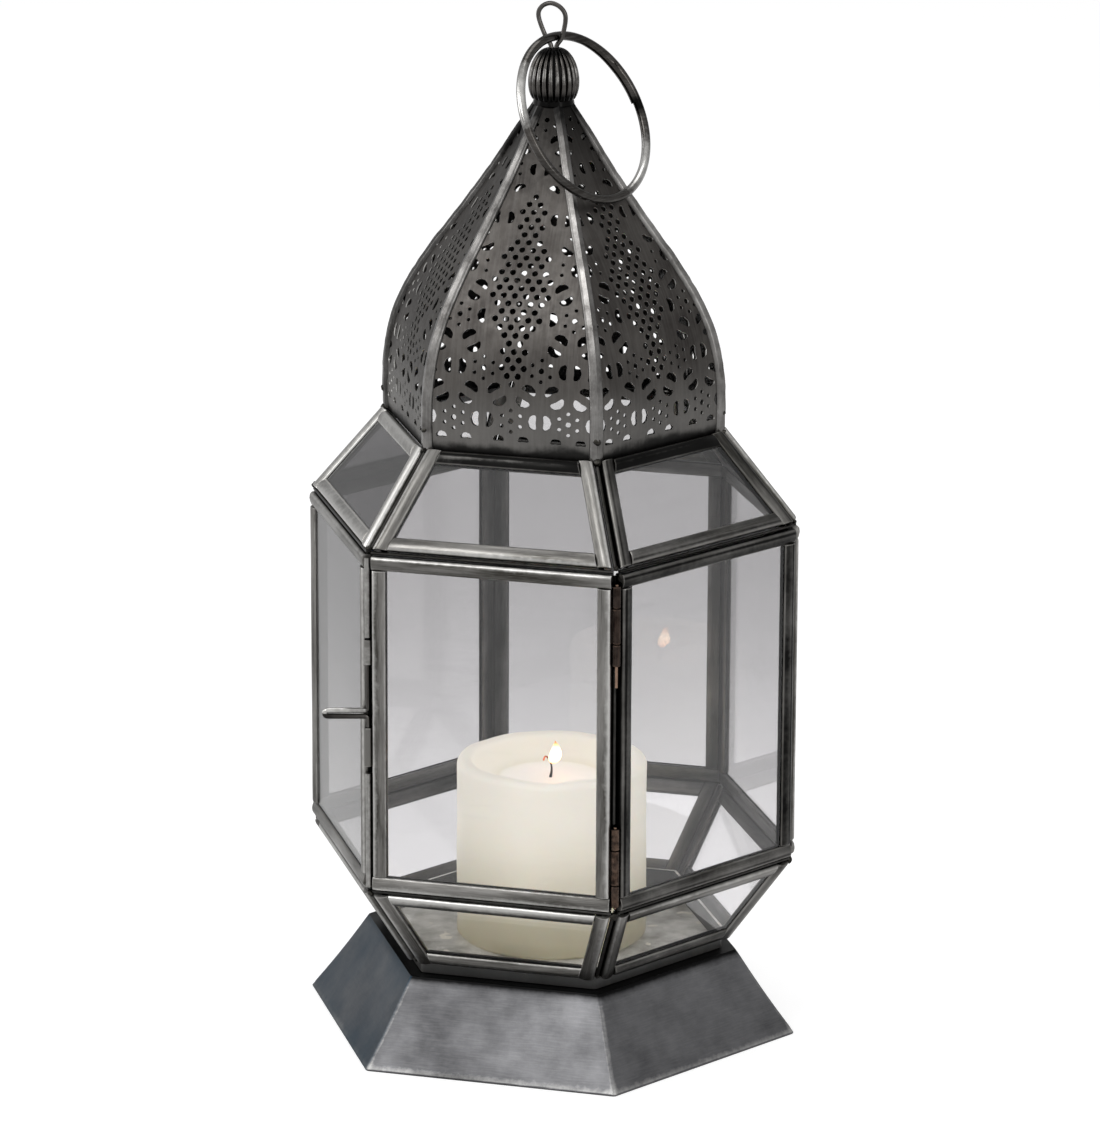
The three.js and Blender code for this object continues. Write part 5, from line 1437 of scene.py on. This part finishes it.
class LANTERN_OT_crown(bpy.types.Operator):
    """Collar, fluted bead, wire eye and the loose ring with its lapped ends"""

    bl_idname = "lantern.crown"
    bl_label = "Crown and ring"

    def execute(self, context):
        crown, dome, body = sizes("crown"), sizes("dome"), sizes("body")
        collar_base = dome.seat + dome.height + body.seam
        bead_base = collar_base + crown.collar_height + body.seam
        bead_top = bead_base + crown.bead_height
        wire = zinc("antiqued_zinc_wire")

        collar = Skin()
        bore, lip = 0.0022, 0.0004
        r, h = crown.collar_radius, crown.collar_height
        profile = [(bore, 0), (r - lip, -lip), (r, 0), (r - lip / 2, h * 0.5)]
        profile += [(crown.bead_foot, h), (bore, h)]
        # Painted shade: the collar under the bead is black all over
        collar.turned([(a, b + collar_base) for a, b in profile], 48, -1.3)
        collar.piece("collar_cap", wire, "lantern", ["finial_collar"], "frame_zinc")

        lobe, lobe_inset, core_bore, core_drop = 0.0013, 0.0012, 0.001, 0.0005
        wide, tall = crown.bead_radius, crown.bead_height
        reach = wide - lobe_inset
        shape = [crown.bead_foot, reach * 1.25, tall * 0.28, reach * 0.94, tall * 0.98]
        shape += [crown.bead_top * 0.6, tall]
        bead = {"Seat": bead_base, "Copies": crown.flutes, "Bead Radius": reach, "Lobe": lobe}
        bead.update(zip(PROFILE, shape), Material=wire)
        mesh = nodes_mesh("fluted_bead", bead_tree(), bead)
        finished("fluted_bead", mesh, wire, "lantern", ["finial"], sharp=60)
        core = Skin()
        low, high = -math.acos(crown.bead_foot / wide), math.acos(crown.bead_top / wide)
        outline = []
        for t in low + (high - low) * np.linspace(0, 1, 16):
            share = (math.sin(t) - math.sin(low)) / (math.sin(high) - math.sin(low))
            outline.append(((wide - lobe) * math.cos(t), bead_base + (tall - core_drop) * share))
        core.turned([(core_bore, bead_base), *outline, (core_bore, bead_top - core_drop)], 44, -1.2)
        core.piece("bead_core", wire, "lantern", slot="bright_zinc")

        eye = Skin()
        throat = bead_top + crown.throat_height
        top = bead_top + crown.eye_height - crown.eye_wire / 2
        half = (crown.eye_width - crown.eye_wire) / 2
        leg = crown.eye_wire / 2 + body.seam / 2
        belly = top - half
        sunk, lean, diagonal = 0.004, 0.0012, half * math.sqrt(0.5)
        right = [(leg, 0, bead_top - sunk), (leg, 0, bead_top + crown.eye_wire / 2)]
        right += [(crown.throat_width / 2, 0, throat), (half, 0, belly), (diagonal, 0, belly + diagonal)]
        left = [(-x, y, z) for x, y, z in reversed(right)]
        loop = smooth_path([*right, (0, 0, top), *left], 9)
        loop[:, 0] -= lean * np.clip((loop[:, 2] - throat) / (top - throat), 0, 1)
        eye.tube(loop, crown.eye_wire / 2, 14, 0.2)
        eye.piece("eye_wire", wire, "lantern", ["hanging_eye"], "bright_zinc")

        ring = Skin()
        cos, sin = math.cos(crown.ring_azimuth), math.sin(crown.ring_azimuth)
        fall = np.array((cos, sin, 0)) * math.sin(crown.ring_tilt) - (0, 0, math.cos(crown.ring_tilt))
        across = np.array((sin, -cos, 0))
        middle = fall * crown.ring_radius + (0, 0, throat)
        lap, notch = math.radians(60), math.radians(178)
        turns = np.linspace(notch - lap, notch + 2 * math.pi, 170)
        path = [middle + crown.ring_radius * (across * math.cos(t) - fall * math.sin(t)) for t in turns]
        inward = [(middle - p) / crown.ring_radius for p in path]

        def scarf(i, section, side, up):
            """The last end lies inside the ring, cut square. The first one is thinned and lies outside it."""
            to_start, to_end = turns[i] - turns[0], turns[-1] - turns[i]
            if min(to_start, to_end) > lap:
                return section
            toward = np.array((np.dot(inward[i], side), np.dot(inward[i], up)))
            depth = section @ toward
            if to_start < to_end:
                moved = np.minimum(depth, crown.ring_wire * (0.5 - 0.6 * max(0, 1 - 1.4 * to_start / lap)))
            else:
                share = min(1, 2 - 2 * to_end / lap)
                moved = np.maximum(depth, crown.ring_wire * (0.7 * share - 0.5))
                moved += crown.ring_wire * 0.27 * share
            return section + (moved - depth)[:, None] * toward

        # Painted highlights and painted shade in stretches round the ring, darkest at the lap's step: where
        # in degrees, how wide, how much
        degrees = np.degrees(turns) % 360
        polish = -0.1
        for at, width, much in ((25, 28, 1.15), (229, 28, 1.15), (180, 7, -1.0), (130, 40, -0.25)):
            polish = polish + much * np.exp(-(((degrees - at) / width) ** 2))
        ring.tube(path, crown.ring_wire / 2, 16, polish[:, None], scarf)
        ring.piece("ring_wire", zinc("handled_zinc_ring"), "ring", ["hanging_ring"], "bright_zinc")
        return {"FINISHED"}


# Candle


def candle_wax():
    """Paraffin wax, cast: ivory, softly see-through, a little uneven, warmer near the floor,
    with painted shade in its hollow and a painted glow round the wick."""
    c, candle = sizes("colours"), sizes("candle")
    material, add, shader = new_material("cast_paraffin_wax")
    cloud_mm, pit_mm = 18, 2.5
    place = add("ShaderNodeTexCoord")["Object"]
    height = add("ShaderNodeSeparateXYZ", {"Vector": place})["Z"]
    top = candle.base + candle.height
    cloud = add("ShaderNodeTexNoise", {"Vector": place, "Scale": 1000 / cloud_mm, "Detail": 4})["Fac"]
    drift = add("ShaderNodeMath", {0: cloud, 1: 0.02, 2: height}, operation="MULTIPLY_ADD")[0]
    rise = {"Value": drift, 1: candle.base, 2: top}
    tone = add("ShaderNodeMapRange", rise, interpolation_type="SMOOTHSTEP")["Result"]
    zone = add("ShaderNodeAttribute", attribute_name="wear")["Fac"]
    melted = add("ShaderNodeMapRange", {"Value": zone, 1: 0.0, 2: 1.0})["Result"]
    shaded = add("ShaderNodeMapRange", {"Value": zone, 1: 0.0, 2: -1.0, 3: 0.0, 4: 0.8})["Result"]
    body = (*c.wax_low, 1)
    for share, colour in ((tone, c.wax), (melted, c.wax_pool), (shaded, c.wax_low)):
        body = add("ShaderNodeMix", {0: share, 6: body, 7: (*colour, 1)}, data_type="RGBA")[2]
    # Painted light: the wax glows round the wick, standing in for the flame's light
    away = add("ShaderNodeVectorMath", {0: place, 1: (0.0, 0.0, top)}, operation="DISTANCE")["Value"]
    dims = {"Value": away, 1: 0.018, 2: 0.072, 3: 0.62, 4: 0.07}
    glow = add("ShaderNodeMapRange", dims, interpolation_type="SMOOTHSTEP")["Result"]
    fuller = add("ShaderNodeMath", {0: zone, 1: 0.03, 2: 1.0}, operation="MULTIPLY_ADD")[0]
    glow = add("ShaderNodeMath", {0: glow, 1: fuller}, operation="MULTIPLY")[0]
    warm = add("ShaderNodeMapRange", {"Value": away, 1: 0.028, 2: 0.06})["Result"]
    ends = {0: warm, 6: (*linear("fdf9ef"), 1), 7: (*linear("fcf1d2"), 1)}
    light = add("ShaderNodeMix", ends, data_type="RGBA")[2]
    pits = add("ShaderNodeTexNoise", {"Vector": place, "Scale": 1000 / pit_mm, "Detail": 3})["Fac"]
    bump = add("ShaderNodeBump", {"Strength": 0.25, "Distance": 0.0002, "Height": pits})["Normal"]
    fill(shader, {"Base Color": body, "Normal": bump, "Emission Color": light, "Emission Strength": glow})
    fill(shader, {"Roughness": 0.42, "Subsurface Weight": 0.35, "Subsurface Scale": 0.006})
    fill(shader, {"Subsurface Radius": (1.0, 0.6, 0.35)})
    return material


def wick_char():
    """Braided cotton wick, burnt: dull black, rough, ashy in flecks, its hooked tip a glowing ember."""
    material, add, shader = new_material("burnt_cotton_wick")
    ash_mm = 0.8
    place = add("ShaderNodeTexCoord")["Object"]
    ash = add("ShaderNodeTexNoise", {"Vector": place, "Scale": 1000 / ash_mm, "Detail": 3})["Fac"]
    flecks = add("ShaderNodeMapRange", {"Value": ash, 1: 0.55, 2: 0.75, 3: 0.0, 4: 0.5})["Result"]
    ends = {0: flecks, 6: (*sizes("colours").char, 1), 7: (*linear("7a6a5c"), 1)}
    body = add("ShaderNodeMix", ends, data_type="RGBA")[2]
    bump = add("ShaderNodeBump", {"Strength": 0.6, "Distance": 0.0002, "Height": ash})["Normal"]
    along = add("ShaderNodeAttribute", attribute_name="wear")["Fac"]
    ember = add("ShaderNodeMapRange", {"Value": along, 1: 0.62, 2: 0.9, 3: 0.0, 4: 1.6})["Result"]
    fill(shader, {"Base Color": body, "Normal": bump, "Roughness": 0.9})
    fill(shader, {"Emission Color": (*linear("e8703a"), 1), "Emission Strength": ember})
    return material


def flame_light(low, top):
    """A candle flame: white-hot middle, amber tip and a dimmer foot round the wick."""
    material, add, shader = new_material("candle_flame")
    place = add("ShaderNodeTexCoord")["Object"]
    height = add("ShaderNodeSeparateXYZ", {"Vector": place})["Z"]
    share = add("ShaderNodeMapRange", {"Value": height, 1: low, 2: top})["Result"]
    colour = add("ShaderNodeValToRGB", {"Fac": share})["Color"]
    marks = colour.node.color_ramp.elements
    stops = ((0.0, "b8683a"), (0.2, "ffc690"), (0.55, "ffdcb4"), (0.8, "ffb878"), (1.0, "e07a40"))
    while len(marks) < len(stops):
        marks.new(0.5)
    for mark, (at, hex_colour) in zip(marks, stops):
        mark.position = at
        mark.color = (*linear(hex_colour), 1)
    heat = add("ShaderNodeMapRange", {"Value": share, 1: 0.55, 2: 1.0, 3: 11.0, 4: 1.2})["Result"]
    fill(shader, {"Emission Color": colour, "Emission Strength": heat})
    fill(shader, {"Base Color": (0, 0, 0, 1), "Roughness": 1.0, "Specular IOR Level": 0.0})
    return material


class LANTERN_OT_candle(bpy.types.Operator):
    """Pillar candle with a melted pool, burnt wick and flame"""

    bl_idname = "lantern.candle"
    bl_label = "Candle"

    def execute(self, context):
        candle, body = sizes("candle"), sizes("body")
        radius, top = candle.diameter / 2, candle.base + candle.height
        pool = top - candle.pool_depth
        rim = radius - candle.rim
        # Radius, height and zone: 1 on melted wax, below 0 where the hollow is in shade
        soft, edge = 0.0026, 0.0012
        profile = [(0.002, candle.base, 0), (radius - edge, candle.base, 0), (radius, candle.base + edge, 0)]
        profile += [(radius, z, 0) for z in np.linspace(candle.base + 0.006, top - soft - 0.002, 9)]
        for t in np.linspace(0, math.pi / 2, 6):
            profile.append((radius - soft + soft * math.cos(t), top - soft + soft * math.sin(t), 0.15))
        profile += [(rim + edge, top - 0.0002, 0.2), (rim, top - 0.001, 0.0), (rim - edge, top - 0.003, -0.3)]
        shore, bore = candle.pool_radius, candle.wick / 2 + body.seam
        profile += [(shore + 0.004, pool + 0.0016, -0.5), (shore + 0.0014, pool + 0.0003, -1.0)]
        profile += [(shore, pool, -0.1), (shore - 0.0025, pool, 0.5), (shore - 0.006, pool, 1)]
        profile += [(0.008, pool, 1), (bore, pool + 0.0002, 0.7), (bore, pool - 0.004, 0)]
        around = 120
        soft_top, middle, sag_depth, swell_depth = 0.012, 0.015, 0.0007, 0.0004
        rings = []
        for r, z, _ in profile:
            ring = []
            for t in 2 * math.pi * np.arange(around) / around:
                cos, sin = math.cos(t), math.sin(t)
                near = np.clip((z - top + soft_top) / soft_top, 0, 1) * (r > middle)
                sag = near * sag_depth * spot((cos * 1.3, sin * 1.3, 0.2), 1.6)
                swell = swell_depth * spot((cos * radius, sin * radius, z), 40) * (r > middle)
                ring.append(((r + swell) * cos, (r + swell) * sin, z + sag))
            rings.append(ring)
        pillar = Skin()
        pillar.loft(rings, np.array(profile)[:, 2:])
        pillar.piece("candle_pillar", candle_wax(), "candle", ["candle"], "wax", sharp=70)

        tip = pool + candle.wick_height
        stem = [(0, 0, pool - 0.0035), (0, 0, pool), (0.0004, 0, pool + 0.0025), (0.0002, 0, pool + 0.005)]
        hook = [(-0.0009, 0, tip - 0.0012), (-0.0021, 0, tip - 0.0006), (-0.0028, 0, tip - 0.0022)]
        run = smooth_path(stem + hook, 6)
        wick = Skin()
        share = np.linspace(0, 1, len(run))
        wick.tube(run, candle.wick / 2 * (1 - 0.6 * np.clip(share * 2, 0, 1) ** 0.7), 12, share[:, None])
        wick.piece("candle_wick", wick_char(), "candle", ["wick"], "wick_cotton")

        # The flame is fattest low down, flattened a little and blown to one side
        over_pool = 0.0056
        foot = pool + over_pool
        flame = Skin()
        turns = 2 * math.pi * np.arange(20) / 20
        rings = []
        for t in np.linspace(0, 1, 22):
            swell = math.sin(math.pi * min(1, t * 0.97 + 0.03) ** 0.62)
            fat = candle.flame_width / 2 * max(0.02, swell) ** 0.9
            lean = 0.0012 * math.sin(2.4 * t) + 0.0009
            level = foot + candle.flame_height * t
            rings.append([(lean + fat * math.cos(a), 0.8 * fat * math.sin(a), level) for a in turns])
        flame.loft(rings)
        light = flame_light(foot, foot + candle.flame_height)
        flame.piece("candle_flame", light, "candle", slot="wax", sharp=70)
        return {"FINISHED"}


# Stage


def seen_rays(add):
    """Rays from the camera and through glass, which show what is behind, and rays off metal, as 0 or 1."""
    path = add("ShaderNodeLightPath")
    ways = {0: path["Is Camera Ray"], 1: path["Is Transmission Ray"]}
    return add("ShaderNodeMath", ways, operation="MAXIMUM")[0], path["Is Glossy Ray"]


class LANTERN_OT_stage(bpy.types.Operator):
    """White floor, soft studio light and a camera at the photograph's angle"""

    bl_idname = "lantern.stage"
    bl_label = "Stage"

    image_height = 1138
    focal_px = 5744.0
    distance = 2.125
    azimuth = math.radians(15.61)
    elevation = math.radians(15.87)
    roll = math.radians(0.21)
    aim_height = 0.1731
    aim_shift = -0.0007
    sensor_mm = 36.0
    lamp_aim = Vector((0, 0, 0.19))

    def execute(self, context):
        scene = context.scene
        scene.view_settings.view_transform = "Standard"
        self.make_world(scene)
        self.make_floor()
        self.make_lamp("key_softbox", (-0.9, -1.7, 1.75), (0.9, 0.9), 14)
        self.make_lamp("left_softbox", (-1.9, -0.4, 0.8), (0.7, 1.5), 9.5)
        self.make_lamp("right_strip", (1.7, -1.1, 0.9), (0.3, 1.3), 5)
        self.make_lamp("top_softbox", (0.1, 0.5, 1.9), (1.2, 0.9), 7)
        self.make_camera(scene)
        return {"FINISHED"}

    def make_world(self, scene):
        """White where it is seen, half as bright as a light, and dimmer at the back for mirrored rays."""
        world = bpy.data.worlds.new("white_studio")
        scene.world = world
        world.use_nodes = True
        tree = world.node_tree
        tree.nodes.clear()
        add = partial(add_node, tree)
        toward = add("ShaderNodeTexCoord")["Generated"]
        behind = add("ShaderNodeSeparateXYZ", {"Vector": toward})["Y"]
        dim = add("ShaderNodeMapRange", {"Value": behind, 1: -0.2, 2: 0.5, 3: 1.0, 4: 0.5})["Result"]
        lit, mirrored, white = [
            add("ShaderNodeBackground", {"Color": WHITE, "Strength": power})[0] for power in (0.5, dim, 1.0)
        ]
        seen, glossy = seen_rays(add)
        mixed = add("ShaderNodeMixShader", {0: glossy, 1: lit, 2: mirrored})[0]
        mixed = add("ShaderNodeMixShader", {0: seen, 1: mixed, 2: white})[0]
        add("ShaderNodeOutputWorld", {"Surface": mixed})

    def make_floor(self):
        """A matt white sweep that keeps the lantern's shadow and otherwise shows white."""
        mesh = bpy.data.meshes.new("floor")
        reach, seen_glow, mirrored_glow = 6.0, 0.7, 0.32
        corners = [(-reach, -reach, 0), (reach, -reach, 0), (reach, reach, 0), (-reach, reach, 0)]
        mesh.from_pydata(corners, [], [(0, 1, 2, 3)])
        material, add, shader = new_material("matt_white_sweep")
        seen, glossy = seen_rays(add)
        shown = add("ShaderNodeMath", {0: seen, 1: seen_glow}, operation="MULTIPLY")[0]
        mirrored = add("ShaderNodeMath", {0: glossy, 1: mirrored_glow}, operation="MULTIPLY")[0]
        strength = add("ShaderNodeMath", {0: shown, 1: mirrored}, operation="MAXIMUM")[0]
        fill(shader, {"Base Color": (0.5, 0.5, 0.5, 1), "Roughness": 1.0, "Specular IOR Level": 0.0})
        fill(shader, {"Emission Color": WHITE, "Emission Strength": strength})
        mesh.materials.append(material)
        floor = placed("floor", mesh)

    def make_lamp(self, name, place, size, power):
        """An area lamp turned towards the middle of the lantern."""
        lamp = bpy.data.lights.new(name, "AREA")
        lamp.shape = "RECTANGLE"
        lamp.size, lamp.size_y = size
        lamp.energy = power
        holder = placed(name, lamp)
        holder.location = place
        holder.rotation_euler = (self.lamp_aim - Vector(place)).to_track_quat("-Z", "Y").to_euler()

    def make_camera(self, scene):
        """A camera at the photograph's angle, whose focal length is given in its pixels."""
        lens = bpy.data.cameras.new("photo_camera")
        lens.sensor_fit = "VERTICAL"
        lens.sensor_height = self.sensor_mm
        lens.lens = self.focal_px * self.sensor_mm / self.image_height
        lens.clip_end = 50
        camera = placed("photo_camera", lens)
        # Turned about the aim, then moved back along the line of sight and rolled
        sight = Matrix.Rotation(self.azimuth, 4, "Z") @ Matrix.Rotation(math.pi / 2 - self.elevation, 4, "X")
        stand = Matrix.Translation((self.aim_shift, 0, self.distance)) @ Matrix.Rotation(self.roll, 4, "Z")
        camera.matrix_world = Matrix.Translation((0, 0, self.aim_height)) @ sight @ stand
        scene.camera = camera


class LANTERN_PT_sidebar(bpy.types.Panel):
    """Buttons for each group of pieces, in the order they are made"""

    bl_idname = "LANTERN_PT_sidebar"
    bl_label = "Lantern"
    bl_space_type = "VIEW_3D"
    bl_region_type = "UI"
    bl_category = "Lantern"

    def draw(self, context):
        for step in OPERATORS:
            self.layout.operator(step.bl_idname)


GROUPS = {
    "body": LanternBody, "hinges": LanternHinges, "foot": LanternFoot, "dome": LanternDome,
    "crown": LanternCrown, "candle": LanternCandle, "colours": LanternColours,
}
OPERATORS = (
    LANTERN_OT_stage, LANTERN_OT_frames, LANTERN_OT_panes, LANTERN_OT_hinges, LANTERN_OT_grooves,
    LANTERN_OT_foot, LANTERN_OT_dome, LANTERN_OT_crown, LANTERN_OT_candle,
)
CLASSES = (*GROUPS.values(), *OPERATORS, LANTERN_PT_sidebar)


def register():
    for part in CLASSES:
        bpy.utils.register_class(part)
    for name, group in GROUPS.items():
        setattr(bpy.types.Scene, "lantern_" + name, PointerProperty(type=group))


def unregister():
    for name in GROUPS:
        delattr(bpy.types.Scene, "lantern_" + name)
    for part in reversed(CLASSES):
        bpy.utils.unregister_class(part)


def main():
    register()
    for step in OPERATORS:
        getattr(bpy.ops.lantern, step.bl_idname.split(".")[1])()


if __name__ == "__main__":
    main()
